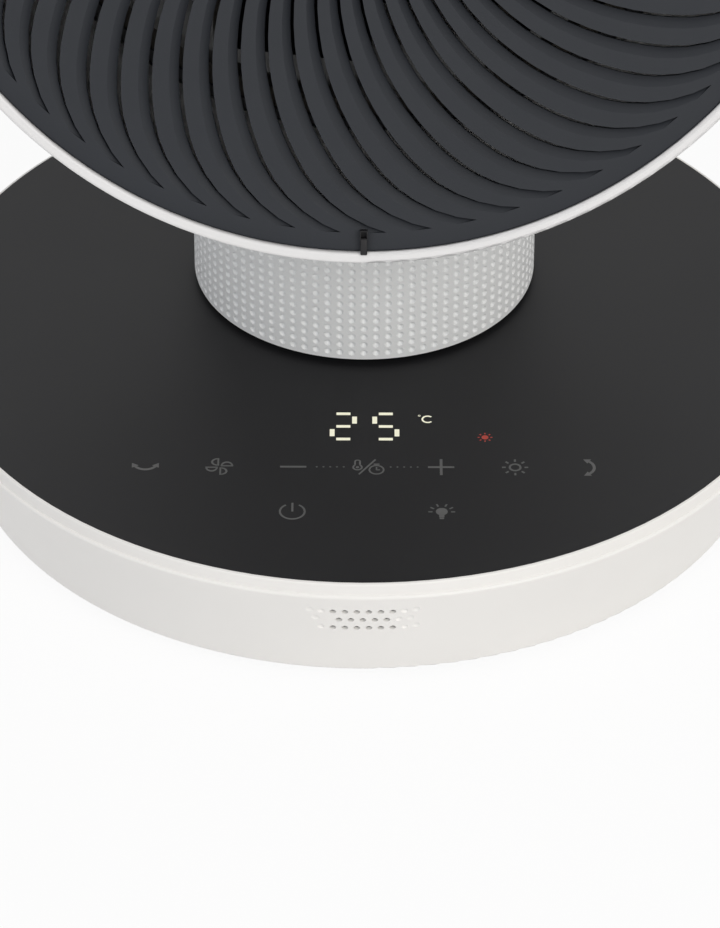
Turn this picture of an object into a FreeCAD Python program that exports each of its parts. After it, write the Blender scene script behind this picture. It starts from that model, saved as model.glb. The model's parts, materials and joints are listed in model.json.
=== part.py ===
"""Table air circulator with heater: touch-panel base, swivelling neck with a yoke, tilting round head.

Millimetres and degrees. The origin is the centre of the base on the table, +Z is up and the front faces -Y.
The head is drawn level about its tilt pivot, with the fan axis along Y, then tilted and lifted into place.
"""
import FreeCAD
import Part
import math
import os

# Fits and clearances
running_clearance = 0.05      # radial room of a shaft in its bearing
seat_clearance = 0.1          # room between pieces that drop into each other
thrust_gap = 0.05             # axial room at the swivel washer
gear_backlash = 0.35          # how much each tooth is thinned, at the pitch circle

# Base
panel_radius = 129.8          # black touch panel
panel_thickness = 2.0
panel_height = 42.0           # top of the panel above the table
band_width = 1.0              # upright white band round the panel
band_height = 3.95            # from the panel's top down to the seam
band_edge_round = 0.6
seam_step = 1.15              # the tray stands a little proud of the band at the seam
tray_taper = 11.55            # the tray is this much narrower at its foot
tray_edge_round = 0.8
tray_foot_round = 1.6
tray_wall = 2.4
tray_floor = 2.4
floor_skin = 0.6              # left under the screws that bite into the floor
foot_height = 2.8             # rubber feet lift the tray this much
foot_radius = 9.0
foot_inset = 22.3             # centres of the feet, in from the tray's foot
foot_count = 5
deck_thickness = 2.0          # deck of the panel frame, under the panel
spigot_depth = 4.0            # the frame reaches this far down into the tray
spigot_wall = 2.0
post_radius = 5.0             # screw posts under the deck
post_inset = 14.3             # in from the tray's foot
post_angles = (60.0, 120.0, 240.0, 300.0)   # beside the touch board and the swivel
vent_radius = 0.95
vent_pitch = 3.4
vent_row_pitch = 3.85
vent_drop = 10.6              # middle row below the seam
vent_row_counts = (6, 5, 6)
vent_wall = 1.1               # the wall is thinned to this behind the holes
vent_pocket_margin = 1.0      # the thinned field reaches this far past the holes
vent_dimple_depths = (0.5, 0.2)   # blind dimples that fade out beside each row

# Screws
screw_radius = 1.5
screw_head_radius = 2.8
screw_head_height = 1.8
screw_bite = 9.0              # thread length in a boss
small_screw_bite = 5.0

# Touch keys and display, places on the panel
key_row_inset = 54.2          # in from the panel's front edge
key_pitch = 21.4
key_row_count = 7
lower_key_row_inset = 32.9
lower_key_x = 21.4
key_spring_radius = 4.0
key_spring_bore = 2.6
key_spring_length = 8.0
board_thickness = 1.6
board_margin = 8.0            # board round the outer keys
display_center_x = 11.0
display_inset = 73.8          # its middle, in from the panel's front edge
display_width = 58.0
display_depth = 22.0

# Power electronics
power_board_inset = 39.3      # its middle, in from the left of the tray's foot
power_board_setback = 2.0     # its middle, behind that of the base
power_board_width = 46.0
power_board_length = 76.0
standoff_height = 6.8
standoff_radius = 3.0
transformer_size = (26.0, 24.0, 17.0)
relay_size = (13.0, 17.0, 12.0)
relay_shift = 9.2             # to the left of the middle of the board
capacitor_radius = 4.5
capacitor_gap = 1.8
capacitor_height = 12.0

# Weight, cord inlet, sensor and tip switch
weight_inset = 22.3           # its outer edge, in from the tray's foot
weight_width = 36.0
weight_thickness = 8.0
weight_half_angle = 56.0
gland_rise = 8.8              # its middle above the tray's floor
gland_radius = 6.0
gland_bore = 3.5
gland_collar_radius = 8.5
gland_collar = 2.5
gland_inside = 4.0
sensor_width = 14.0
sensor_thickness = 1.6
sensor_setback = 3.0          # from the inner face of the tray wall
switch_inset = 32.4           # its middle, in from the tray's foot
switch_angle = 131.3
switch_size = (20.0, 14.0, 13.0)
plunger_radius = 3.0
plunger_travel = 2.5
plunger_collar_radius = 4.5
plunger_collar = 1.5

# Swivel of the neck
neck_y = 26.6                 # the neck stands behind the centre of the base
neck_radius = 51.5
neck_wall = 2.4
neck_lift = 1.8               # dark gap between the panel and the foot of the sleeve
neck_hole_inset = 5.5         # the hole in the panel stays hidden under the sleeve
neck_top = 80.0
neck_cap_thickness = 3.0
neck_cap_round = 1.5
cap_spigot_depth = 5.0
spindle_radius = 20.0
spindle_bore = 14.0
spindle_flange_thickness = 4.0
spindle_flange_rise = 4.0     # its underside above the panel's top
ledge_width = 5.0
ledge_thickness = 2.4
seat_radius = 28.0
seat_height = 17.0
seat_recess_height = 6.0
lug_radius = 5.0
lug_thickness = 3.0
washer_thickness = 0.8
retainer_radius = 24.5
retainer_groove = 1.5
retainer_thickness = 2.0

# Swing drive
gear_module = 1.5
gear_addendum = 0.9           # height of a tooth above the pitch circle, in modules
gear_dedendum = 1.25          # depth of a tooth below it, in modules
gear_flank = 20.0             # slope of the straight flanks
gear_teeth = 48
pinion_teeth = 16
gear_width = 6.3
pinion_width = 5.6
yaw_motor_radius = 15.0
yaw_motor_height = 15.0
yaw_motor_ear = 19.5
pinion_shaft_radius = 2.5
pinion_shaft_entry = 4.0

# Yoke
hub_rise = 13.0               # from the neck's cap up to the underside of the hoop
head_tilt = 20.0              # how far the head looks up as photographed
yoke_gap = 2.0                # room round the head
yoke_thickness = 12.0
yoke_width = 26.0
yoke_wall = 2.4
yoke_front_round = 2.5        # outer edge towards the front
yoke_edge_round = 1.0
yoke_hub_radius = 28.0
yoke_hub_bore = 10.0
yoke_hub_screw_circle = 20.0
pod_radius = 20.0
pod_recess_radius = 15.2
pod_cap_thickness = 3.0
pod_cap_round = 1.5
cover_post_radius = 3.0
cover_screw_angles = (200.0, 240.0, 300.0, 340.0)
trunnion_radius = 4.0
trunnion_head_radius = 6.5
trunnion_head = 1.6
trunnion_boss_radius = 9.0
tilt_motor_length = 8.0

# Head
head_radius = 117.0           # round body of the head
head_wall = 2.5
head_front = 70.0             # front face ahead of the pivot
ring_radius = 138.2           # white front ring
ring_face = 3.1               # width of its front face
ring_depth = 12.0
ring_flange = 2.0
ring_flange_width = 7.5
ring_edge_round = 0.9
flare_start = 44.0            # where the body flares out to the ring, ahead of the pivot
flare_wall = 2.5
shell_split = 8.0             # parting plane of the shells, behind the pivot
shell_groove = 0.5            # bevel on both shells, a fine groove along the parting plane
head_back = 62.0              # flat back behind the pivot
grille_recess = 1.5           # grille face behind the ring's front edge
grille_thickness = 3.0
grille_rim = 2.7
slot_count = 64
slot_phase = 0.5              # part of a pitch that the slots are turned, so two tips flank the latch
slot_tip_inset = 5.3          # tips in from the grille's edge
slot_tip_lean = 18.0          # between the slot and the circle at its tip
slot_tip_arc = 38.0           # bend of the slot near the rim
slot_knee_sweep = 45.0
slot_hub_arc = 75.0           # bend of the slot from there to the hub
slot_hub_radius = 44.0
slot_open_shares = (0.46, 0.42, 0.42, 0.46, 0.5)   # part of the pitch that is open, from tip to hub
latch_width = 2.1
latch_inset = 6.4             # its inner end, in from the grille's edge
latch_block_length = 2.5
latch_reach = 0.5             # how far it laps over the ring's face
latch_height = 1.0            # of its top above the ring's face
rear_grille_thickness = 3.0
rear_lip_width = 5.0
rear_lip = 2.0
rear_slot_width = 4.2
rear_slot_pitch = 7.7         # at the inner end of the slots
rear_slot_length = 20.5
rear_slot_margin = 8.6        # outer ends in from the edge
rear_row_gap = 3.5
rear_row_count = 2
shell_boss_length = 12.0
shell_boss_count = 4

# Air path and heater
duct_inset = 17.0             # bore in from the round body
duct_wall = 2.0
duct_front_gap = 9.5          # behind the front grille
duct_back_gap = 26.0          # ahead of the flat back
duct_flange_lead = 1.0        # flange ahead of where the body starts to flare
duct_flange = 3.0
heater_setback = 2.0          # behind the duct's front edge
heater_depth = 16.0
heater_ring_width = 5.0
heater_rail_x = 40.0
heater_rail_width = 5.0
heater_rail_depth = 3.0
heater_bar_height = 12.0
heater_bar_pitch = 30.0
heater_bar_count = 5
cutout_radius = 6.0
cutout_height = 5.0

# Fan and motor
blade_tip_gap = 5.0           # room between the blades and the duct
impeller_hub_radius = 36.0
impeller_hub_wall = 3.0
impeller_hub_depth = 34.0
impeller_gap = 6.0            # ahead of the motor
blade_count = 7
blade_thickness = 2.2
blade_root_chord = 38.0
blade_tip_chord = 50.0
blade_root_pitch = 42.0
blade_tip_pitch = 62.0
blade_lead = 16.0             # middle of the blades ahead of the hub's back
shaft_radius = 3.0
shaft_nose = 7.0              # stands out ahead of the hub
nut_radius = 8.0
nut_length = 8.0
motor_radius = 34.0
motor_wall = 2.0
motor_length = 36.0
motor_back_gap = 10.0         # ahead of the flat back
bearing_radius = 9.0
bearing_width = 5.0
rotor_gap = 0.6
rotor_length = 20.0
stator_wall = 6.0
bracket_rim = 4.0
bracket_arm_width = 4.0
bracket_arm_count = 5
bracket_depth = 12.0

# Heights and radii that follow
band_radius = panel_radius + band_width
tray_top_radius = band_radius + seam_step
tray_foot_radius = tray_top_radius - tray_taper
foot_circle_radius = tray_foot_radius - foot_inset
post_circle_radius = tray_foot_radius - post_inset
weight_outer_radius = tray_foot_radius - weight_inset
weight_inner_radius = weight_outer_radius - weight_width
key_row_y = key_row_inset - panel_radius
lower_key_row_y = lower_key_row_inset - panel_radius
display_center_y = display_inset - panel_radius
power_board_center = (power_board_inset - tray_foot_radius, power_board_setback)
seam_height = panel_height - band_height
vent_height = seam_height - vent_drop
deck_top = panel_height - panel_thickness
deck_bottom = deck_top - deck_thickness
floor_top = foot_height + tray_floor
gland_height = floor_top + gland_rise
tray_slope = (tray_top_radius - tray_foot_radius) / (seam_height - foot_height)
neck_hole_radius = neck_radius - neck_hole_inset
neck_bore = neck_radius - neck_wall
board_top = deck_top - key_spring_length
board_bottom = board_top - board_thickness
seat_top = floor_top + seat_height
gear_bottom = seat_top + washer_thickness + thrust_gap
gear_pitch_radius = gear_module * gear_teeth / 2
pinion_pitch_radius = gear_module * pinion_teeth / 2
motor_x = gear_pitch_radius + pinion_pitch_radius
spindle_flange_height = panel_height + spindle_flange_rise
flange_top = spindle_flange_height + spindle_flange_thickness
cap_top = neck_top + neck_cap_thickness
yoke_inner = head_radius + yoke_gap
yoke_outer = yoke_inner + yoke_thickness
pivot_height = cap_top + hub_rise + yoke_outer
ring_back = head_front - ring_depth
ring_bore = ring_radius - ring_face
grille_radius = ring_bore - seat_clearance
grille_face = head_front - grille_recess
grille_back = grille_face - grille_thickness
slot_tip_radius = grille_radius - slot_tip_inset
latch_inner_radius = grille_radius - latch_inset
latch_outer_radius = ring_bore + latch_reach
duct_bore = head_radius - duct_inset
duct_front = grille_back - duct_front_gap
duct_back = head_back - duct_back_gap
duct_flange_front = flare_start + duct_flange_lead
heater_front = duct_front - heater_setback
motor_back = head_back - motor_back_gap
motor_front = motor_back - motor_length
impeller_radius = duct_bore - blade_tip_gap
impeller_back = motor_front - impeller_gap
impeller_front = impeller_hub_depth - impeller_back
blade_middle = impeller_back - blade_lead
shaft_front = impeller_front + shaft_nose
key_places = [((i - (key_row_count - 1) / 2) * key_pitch, key_row_y) for i in range(key_row_count)]
key_places += [(-lower_key_x, lower_key_row_y), (lower_key_x, lower_key_row_y)]

ALONG_X = FreeCAD.Vector(1, 0, 0)
ALONG_Y = FreeCAD.Vector(0, 1, 0)
ALONG_Z = FreeCAD.Vector(0, 0, 1)
ORIGIN = FreeCAD.Vector(0, 0, 0)


# Shape helpers

def vec(x, y, z):
    return FreeCAD.Vector(x, y, z)


def polar(radius, degrees):
    """Point at a radius and an angle."""
    turn = math.radians(degrees)
    return radius * math.cos(turn), radius * math.sin(turn)


def sphere_radius_at(radius, distance):
    """Radius of a sphere's circle at a distance from its centre."""
    return math.sqrt(radius * radius - distance * distance)


def rod(radius, low, high, x=0.0, y=0.0):
    """Upright cylinder from low to high."""
    return Part.makeCylinder(radius, high - low, vec(x, y, low), ALONG_Z)


def tube(outer, inner, low, high, x=0.0, y=0.0):
    return rod(outer, low, high, x, y).cut(rod(inner, low, high, x, y))


def rod_y(radius, low, high, x=0.0, z=0.0):
    """Cylinder along the fan axis of the level head."""
    return Part.makeCylinder(radius, high - low, vec(x, low, z), ALONG_Y)


def tube_y(outer, inner, low, high, x=0.0, z=0.0):
    return rod_y(outer, low, high, x, z).cut(rod_y(inner, low, high, x, z))


def rod_x(radius, low, high, y=0.0, z=0.0):
    """Cylinder along the tilt axis."""
    return Part.makeCylinder(radius, high - low, vec(low, y, z), ALONG_X)


def tube_x(outer, inner, low, high, y=0.0, z=0.0):
    return rod_x(outer, low, high, y, z).cut(rod_x(inner, low, high, y, z))


def block(center_x, center_y, width, depth, low, high):
    corner = vec(center_x - width / 2, center_y - depth / 2, low)
    return Part.makeBox(width, depth, high - low, corner)


def span_box(x0, x1, y0, y1, z0, z1):
    return Part.makeBox(x1 - x0, y1 - y0, z1 - z0, vec(x0, y0, z0))


def outline(corners):
    """Closed wire through (x, y) corners. A third number in a corner is the radius that rounds it."""
    places = [vec(corner[0], corner[1], 0) for corner in corners]
    count = len(corners)
    ends = []
    arcs = []
    for i, corner in enumerate(corners):
        here = places[i]
        if len(corner) < 3:
            ends.append((here, here))
            arcs.append(None)
            continue
        before = (places[i - 1] - here).normalize()
        after = (places[(i + 1) % count] - here).normalize()
        half = before.getAngle(after) / 2
        start = here + before * (corner[2] / math.tan(half))
        end = here + after * (corner[2] / math.tan(half))
        middle = here + (before + after).normalize() * (corner[2] / math.sin(half) - corner[2])
        ends.append((start, end))
        arcs.append(Part.Arc(start, middle, end).toShape())
    edges = []
    for i in range(count):
        if arcs[i]:
            edges.append(arcs[i])
        edges.append(Part.LineSegment(ends[i][1], ends[(i + 1) % count][0]).toShape())
    return Part.Wire(edges)


def turned_z(corners, y=0.0):
    """Solid turned about an upright axis from (radius, height) corners, some of them rounded."""
    face = Part.Face(outline(corners))
    face.rotate(ORIGIN, ALONG_X, 90)
    solid = face.revolve(ORIGIN, ALONG_Z, 360)
    solid.translate(vec(0, y, 0))
    return solid


def turned_y(edges):
    """Solid turned about the fan axis from edges in the plane of radius (x) and depth (y)."""
    return Part.Face(Part.Wire(edges)).revolve(ORIGIN, ALONG_Y, 360)


def line(a, b):
    return Part.LineSegment(vec(a[0], a[1], 0), vec(b[0], b[1], 0)).toShape()


def sphere_arc(radius, start_depth, end_depth):
    """Arc of a sphere's outline between two depths along the fan axis."""
    middle = (start_depth + end_depth) / 2
    points = [vec(sphere_radius_at(radius, d), d, 0) for d in (start_depth, middle, end_depth)]
    return Part.Arc(*points).toShape()


def joined(shapes):
    result = shapes[0].fuse(shapes[1:]) if len(shapes) > 1 else shapes[0]
    return result.removeSplitter()


def group(shapes):
    return Part.makeCompound(shapes)


def without(shape, tools):
    return shape.cut(Part.makeCompound(tools))


def screw_up(x, y, seat, length):
    """Screw with its head below seat and its thread rising from it."""
    return joined([rod(screw_head_radius, seat - screw_head_height, seat, x, y),
                   rod(screw_radius, seat, seat + length, x, y)])


def screw_down(x, y, seat, length):
    """Screw with its head on seat and its thread going down."""
    return joined([rod(screw_head_radius, seat, seat + screw_head_height, x, y),
                   rod(screw_radius, seat - length, seat, x, y)])


def circle_places(radius, count, start):
    return [polar(radius, start + 360.0 * i / count) for i in range(count)]


def gear(teeth, width, low, start_degrees):
    """Spur gear blank with straight-flanked teeth, one tooth centred on start_degrees."""
    pitch = gear_module * teeth / 2
    tip = pitch + gear_addendum * gear_module
    root = pitch - gear_dedendum * gear_module
    step = 360.0 / teeth
    half_pitch = (math.pi * gear_module / 2 - gear_backlash) / 2
    flank = math.tan(math.radians(gear_flank))
    half_tip = half_pitch - (tip - pitch) * flank
    half_root = half_pitch + (pitch - root) * flank
    points = []
    for i in range(teeth):
        middle = start_degrees + i * step
        for radius, half in ((root, -half_root), (tip, -half_tip), (tip, half_tip), (root, half_root)):
            x, y = polar(radius, middle + math.degrees(half / radius))
            points.append(vec(x, y, low))
    face = Part.Face(Part.makePolygon(points + points[:1]))
    return face.extrude(vec(0, 0, width))


# Base

def tray_outer(height):
    return tray_foot_radius + tray_slope * (height - foot_height)


def tray_inner(height):
    return tray_outer(height) - tray_wall


def vent_row_height(row):
    return vent_height + ((len(vent_row_counts) - 1) / 2 - row) * vent_row_pitch


def vent_places():
    """Staggered rows of round holes: offset along the front and height of each."""
    places = []
    for row, count in enumerate(vent_row_counts):
        for i in range(count):
            places.append(((i - (count - 1) / 2) * vent_pitch, vent_row_height(row)))
    return places


def vent_drills():
    """Drills of the vent holes, square to the sloping wall and a wall's thickness past it at each end."""
    outward = vec(0, -1, -tray_slope)
    outward.normalize()
    drills = []
    for x, z in vent_places():
        mouth = vec(x, -sphere_radius_at(tray_outer(z), x), z)
        drills.append(Part.makeCylinder(vent_radius, 3 * tray_wall, mouth - outward * (2 * tray_wall), outward))
    return drills


def vent_pocket():
    """Field behind the vent holes where the wall is thinned from inside."""
    reach = vent_radius + vent_pocket_margin
    half = (max(vent_row_counts) - 1) / 2 * vent_pitch + reach
    rise = (len(vent_row_counts) - 1) / 2 * vent_row_pitch + reach
    low, high = vent_height - rise, vent_height + rise
    ring = turned_z([(tray_inner(low) - tray_wall, low), (tray_outer(low) - vent_wall, low),
                     (tray_outer(high) - vent_wall, high), (tray_inner(high) - tray_wall, high)])
    return ring.common(span_box(-half, half, -tray_top_radius, 0, low, high))


def vent_dimples():
    """Balls that cut the blind dimples beside the vent holes, less deep with each step outwards."""
    balls = []
    for row, count in enumerate(vent_row_counts):
        height = vent_row_height(row)
        for step, depth in enumerate(vent_dimple_depths):
            offset = ((count + 1) / 2 + step) * vent_pitch
            wall = sphere_radius_at(tray_outer(height), offset)
            ball = (vent_radius ** 2 + depth ** 2) / (2 * depth)
            for side in (-1, 1):
                balls.append(Part.makeSphere(ball, vec(side * offset, depth - wall - ball, height)))
    return balls


def make_base_tray():
    shell = turned_z([(0, foot_height), (tray_foot_radius, foot_height, tray_foot_round),
                      (tray_top_radius, seam_height, tray_edge_round), (tray_inner(seam_height), seam_height),
                      (tray_inner(floor_top), floor_top), (0, floor_top)])
    standoffs = [rod(standoff_radius, floor_top, floor_top + standoff_height, x, y)
                 for x, y in standoff_places()]
    shell = joined([shell] + standoffs)
    holes = [rod(screw_radius + seat_clearance, foot_height, floor_top, x, y) for x, y in post_places()]
    holes += [rod(screw_head_radius + seat_clearance, foot_height, screw_seat(), x, y)
              for x, y in post_places()]
    holes += [rod(screw_radius, foot_height + floor_skin, floor_top, x, y)
              for x, y in lug_places() + ear_places()]
    holes.append(rod(plunger_radius + running_clearance, foot_height, floor_top, *switch_place()))
    gland_hole = Part.makeCylinder(gland_radius, tray_top_radius, vec(0, neck_y, gland_height), ALONG_Y)
    shell = without(without(shell, vent_dimples()), [vent_pocket()])
    return without(shell, vent_drills() + holes + [gland_hole])


def screw_seat():
    """Height of the shoulder that a base screw pulls on."""
    return foot_height + tray_floor / 2


def post_places():
    return [polar(post_circle_radius, angle) for angle in post_angles]


def standoff_places():
    x, y = power_board_center
    dx = power_board_width / 2 - standoff_radius
    dy = power_board_length / 2 - standoff_radius
    return [(x + i * dx, y + j * dy) for i in (-1, 1) for j in (-1, 1)]


def lug_places():
    """Screw lugs of the swivel seat, clear of the swing motor on the right."""
    circle = seat_radius + screw_head_radius + seat_clearance
    return [(x, neck_y + y) for x, y in (polar(circle, angle) for angle in (90, 180, 270))]


def floor_screw(x, y):
    """Screw through a lug into the blind hole in the tray's floor."""
    return screw_down(x, y, floor_top + lug_thickness, lug_thickness + tray_floor - floor_skin)


def ear_places():
    return [(motor_x, neck_y - yaw_motor_ear), (motor_x, neck_y + yaw_motor_ear)]


def make_panel_frame():
    spigot_outer = tray_inner(seam_height - spigot_depth) - seat_clearance
    band = turned_z([(panel_radius + seat_clearance, panel_height),
                     (band_radius, panel_height, band_edge_round),
                     (band_radius, seam_height), (spigot_outer, seam_height),
                     (spigot_outer, seam_height - spigot_depth),
                     (spigot_outer - spigot_wall, seam_height - spigot_depth),
                     (spigot_outer - spigot_wall, deck_bottom), (0, deck_bottom), (0, deck_top),
                     (panel_radius + seat_clearance, deck_top)])
    posts = [rod(post_radius, floor_top, deck_top, x, y) for x, y in post_places()]
    board_posts = [rod(standoff_radius, board_top, deck_top, x, y) for x, y in board_post_places()]
    frame = joined([band] + posts + board_posts)
    openings = [rod(neck_hole_radius, deck_bottom, deck_top, 0, neck_y)]
    openings += [rod(key_spring_radius + seat_clearance, deck_bottom, deck_top, x, y) for x, y in key_places]
    openings.append(block(display_center_x, display_center_y, display_width + 2 * seat_clearance,
                          display_depth + 2 * seat_clearance, deck_bottom, deck_top))
    openings += [rod(screw_radius, floor_top, floor_top + screw_bite, x, y) for x, y in post_places()]
    openings += [rod(screw_radius, board_top, board_top + small_screw_bite, x, y)
                 for x, y in board_post_places()]
    return without(frame, openings)


def make_touch_panel():
    disc = rod(panel_radius, deck_top, panel_height)
    return disc.cut(rod(neck_hole_radius, deck_top, panel_height, 0, neck_y))


def board_half_width():
    return (key_row_count - 1) / 2 * key_pitch + board_margin


def board_post_places():
    """Posts that carry the touch board, between the keys of the upper row."""
    between = 3 * key_pitch / 2
    corner_x = board_half_width() - standoff_radius
    corner_y = board_back() - standoff_radius
    return [(-between, key_row_y), (between, key_row_y), (-corner_x, corner_y), (corner_x, corner_y)]


def board_back():
    return display_center_y + display_depth / 2


def make_touch_board():
    half = board_half_width()
    front = key_row_y - board_margin
    upper = span_box(-half, half, front, board_back(), board_bottom, board_top)
    lower_half = lower_key_x + board_margin
    lower = span_box(-lower_half, lower_half, lower_key_row_y - board_margin, front, board_bottom, board_top)
    holes = [rod(screw_radius, board_bottom, board_top, x, y) for x, y in board_post_places()]
    return without(joined([upper, lower]), holes)


def make_board_screws():
    return group([screw_up(x, y, board_bottom, board_thickness + small_screw_bite)
                  for x, y in board_post_places()])


def make_touch_springs():
    return group([tube(key_spring_radius, key_spring_bore, board_top, deck_top, x, y)
                  for x, y in key_places])


def make_display_module():
    return block(display_center_x, display_center_y, display_width, display_depth, board_top, deck_top)


def make_power_board():
    x, y = power_board_center
    low = floor_top + standoff_height
    return block(x, y, power_board_width, power_board_length, low, low + board_thickness)


def power_piece(size, shift_x, shift_y):
    x, y = power_board_center
    low = floor_top + standoff_height + board_thickness
    return block(x + shift_x, y + shift_y, size[0], size[1], low, low + size[2])


def make_power_transformer():
    return power_piece(transformer_size, 0, -power_board_length / 4)


def make_heater_relay():
    return power_piece(relay_size, -relay_shift, power_board_length / 4)


def make_power_capacitors():
    x, y = power_board_center
    low = floor_top + standoff_height + board_thickness
    apart = capacitor_radius + capacitor_gap / 2
    row_x = x + power_board_width / 4
    row_y = y + power_board_length / 4
    return group([rod(capacitor_radius, low, low + capacitor_height, row_x, row_y + side * apart)
                  for side in (-1, 1)])


def make_base_weight():
    sector = tube(weight_outer_radius, weight_inner_radius, floor_top, floor_top + weight_thickness)
    reach = 2 * weight_outer_radius
    edge = [polar(reach, 270 - weight_half_angle), polar(reach, 270), polar(reach, 270 + weight_half_angle)]
    points = [vec(0, 0, floor_top)] + [vec(x, y, floor_top) for x, y in edge]
    wedge = Part.Face(Part.makePolygon(points + points[:1])).extrude(vec(0, 0, weight_thickness))
    return sector.common(wedge)


def make_rubber_feet():
    return group([rod(foot_radius, 0, foot_height, x, y)
                  for x, y in circle_places(foot_circle_radius, foot_count, 270)])


def make_base_screws():
    length = floor_top - screw_seat() + screw_bite
    return group([screw_up(x, y, screw_seat(), length) for x, y in post_places()])


def make_cord_gland(tray):
    """Bush in the rear wall: collars on both faces of the wall and a bore for the cord."""
    outside = tray_outer(gland_height + gland_collar_radius)
    inside = tray_inner(gland_height - gland_collar_radius)
    start = inside - gland_inside
    end = outside + gland_collar
    barrel = rod_y(gland_radius, start, end, 0, gland_height)
    collar = rod_y(gland_collar_radius, tray_inner(gland_height), end, 0, gland_height)
    body = joined([barrel, collar]).cut(tray)
    return body.cut(rod_y(gland_bore, start, end, 0, gland_height))


def make_room_sensor():
    """Small board that stands on the floor behind the vent holes, with its bead at their height."""
    back = -(tray_inner(floor_top) - sensor_setback)
    half = sensor_width / 2
    board = span_box(-half, half, back, back + sensor_thickness, floor_top, vent_height)
    bead = Part.makeSphere(sensor_thickness, vec(0, back, vent_height - sensor_thickness))
    return joined([board, bead])


def switch_place():
    return polar(tray_foot_radius - switch_inset, switch_angle)


def make_tip_switch():
    x, y = switch_place()
    width, depth, height = switch_size
    body = block(x, y, width, depth, floor_top, floor_top + height)
    room_top = collar_low() + plunger_collar + seat_clearance
    room = rod(plunger_collar_radius + seat_clearance, floor_top, room_top, x, y)
    guide = rod(plunger_radius + running_clearance, floor_top, floor_top + height, x, y)
    return without(body, [room, guide])


def collar_low():
    """Underside of the plunger's collar when the base stands on the table."""
    return floor_top + plunger_travel + seat_clearance


def make_tip_plunger():
    x, y = switch_place()
    stem = rod(plunger_radius, 0, floor_top + switch_size[2], x, y)
    collar = rod(plunger_collar_radius, collar_low(), collar_low() + plunger_collar, x, y)
    return joined([stem, collar])


def make_swivel_seat():
    body = rod(seat_radius, floor_top, seat_top, 0, neck_y)
    lugs = [rod(lug_radius, floor_top, floor_top + lug_thickness, x, y) for x, y in lug_places()]
    body = joined([body] + lugs)
    holes = [rod(spindle_radius + running_clearance, floor_top, seat_top, 0, neck_y),
             rod(retainer_radius + seat_clearance, floor_top, floor_top + seat_recess_height, 0, neck_y)]
    holes += [rod(screw_radius, floor_top, floor_top + lug_thickness, x, y) for x, y in lug_places()]
    return without(body, holes)


def make_swivel_seat_screws():
    return group([floor_screw(x, y) for x, y in lug_places()])


def make_thrust_washer():
    bore = spindle_radius + seat_clearance
    return tube(seat_radius, bore, seat_top, seat_top + washer_thickness, 0, neck_y)


def make_yaw_motor():
    can = rod(yaw_motor_radius, floor_top, floor_top + yaw_motor_height, motor_x, neck_y)
    ears = [rod(lug_radius, floor_top, floor_top + lug_thickness, x, y) for x, y in ear_places()]
    top = floor_top + yaw_motor_height
    holes = [rod(pinion_shaft_radius + running_clearance, top - pinion_shaft_entry, top, motor_x, neck_y)]
    holes += [rod(screw_radius, floor_top, floor_top + lug_thickness, x, y) for x, y in ear_places()]
    return without(joined([can] + ears), holes)


def make_yaw_motor_screws():
    return group([floor_screw(x, y) for x, y in ear_places()])


def make_yaw_pinion():
    low = gear_bottom + (gear_width - pinion_width) / 2
    teeth = gear(pinion_teeth, pinion_width, low, 180 + 180.0 / pinion_teeth)
    teeth.translate(vec(motor_x, neck_y, 0))
    bottom = floor_top + yaw_motor_height - pinion_shaft_entry + seat_clearance
    shaft = rod(pinion_shaft_radius, bottom, low + pinion_width, motor_x, neck_y)
    return joined([teeth, shaft])


# Neck

def make_yaw_gear():
    teeth = gear(gear_teeth, gear_width, gear_bottom, 0)
    teeth.translate(vec(0, neck_y, 0))
    return teeth.cut(rod(spindle_radius, gear_bottom, gear_bottom + gear_width, 0, neck_y))


def retainer_top():
    return floor_top + seat_recess_height - thrust_gap


def make_swivel_spindle():
    low = retainer_top() - 2 * retainer_thickness
    post = rod(spindle_radius, low, spindle_flange_height, 0, neck_y)
    flange = rod(neck_bore - seat_clearance, spindle_flange_height, flange_top, 0, neck_y)
    body = joined([post, flange]).cut(rod(spindle_bore, low, flange_top, 0, neck_y))
    groove = tube(spindle_radius, spindle_radius - retainer_groove,
                  retainer_top() - retainer_thickness, retainer_top(), 0, neck_y)
    holes = [rod(screw_radius, spindle_flange_height, flange_top, x, y) for x, y in neck_screw_places()]
    return without(body, [groove] + holes)


def make_swivel_retainer():
    """Ring in the spindle's groove, under the shoulder of the seat."""
    return tube(retainer_radius, spindle_radius - retainer_groove,
                retainer_top() - retainer_thickness, retainer_top(), 0, neck_y)


def neck_screw_places():
    circle = neck_bore - screw_head_radius - seat_clearance
    return [(x, neck_y + y) for x, y in circle_places(circle, 4, 45)]


def make_neck_sleeve():
    bottom = panel_height + neck_lift
    sleeve = tube(neck_radius, neck_bore, bottom, neck_top, 0, neck_y)
    ledge_top = flange_top + ledge_thickness
    ledge = tube(neck_radius - neck_wall / 2, neck_bore - ledge_width, flange_top, ledge_top, 0, neck_y)
    holes = [rod(screw_radius, flange_top, ledge_top, x, y) for x, y in neck_screw_places()]
    return without(joined([sleeve, ledge]), holes)


def make_neck_screws():
    length = spindle_flange_thickness + ledge_thickness
    return group([screw_up(x, y, spindle_flange_height, length) for x, y in neck_screw_places()])


def make_neck_cap():
    plug = neck_bore - seat_clearance
    cap = turned_z([(0, neck_top), (plug - neck_wall, neck_top),
                    (plug - neck_wall, neck_top - cap_spigot_depth),
                    (plug, neck_top - cap_spigot_depth), (plug, neck_top), (neck_radius, neck_top),
                    (neck_radius, cap_top, neck_cap_round), (0, cap_top)], neck_y)
    holes = [rod(yoke_hub_bore, neck_top, cap_top, 0, neck_y)]
    holes += [rod(screw_radius, neck_top, cap_top, x, y) for x, y in hub_screw_places()]
    return without(cap, holes)


def hub_screw_places():
    return [(x, neck_y + y) for x, y in circle_places(yoke_hub_screw_circle, 4, 45)]


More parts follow.
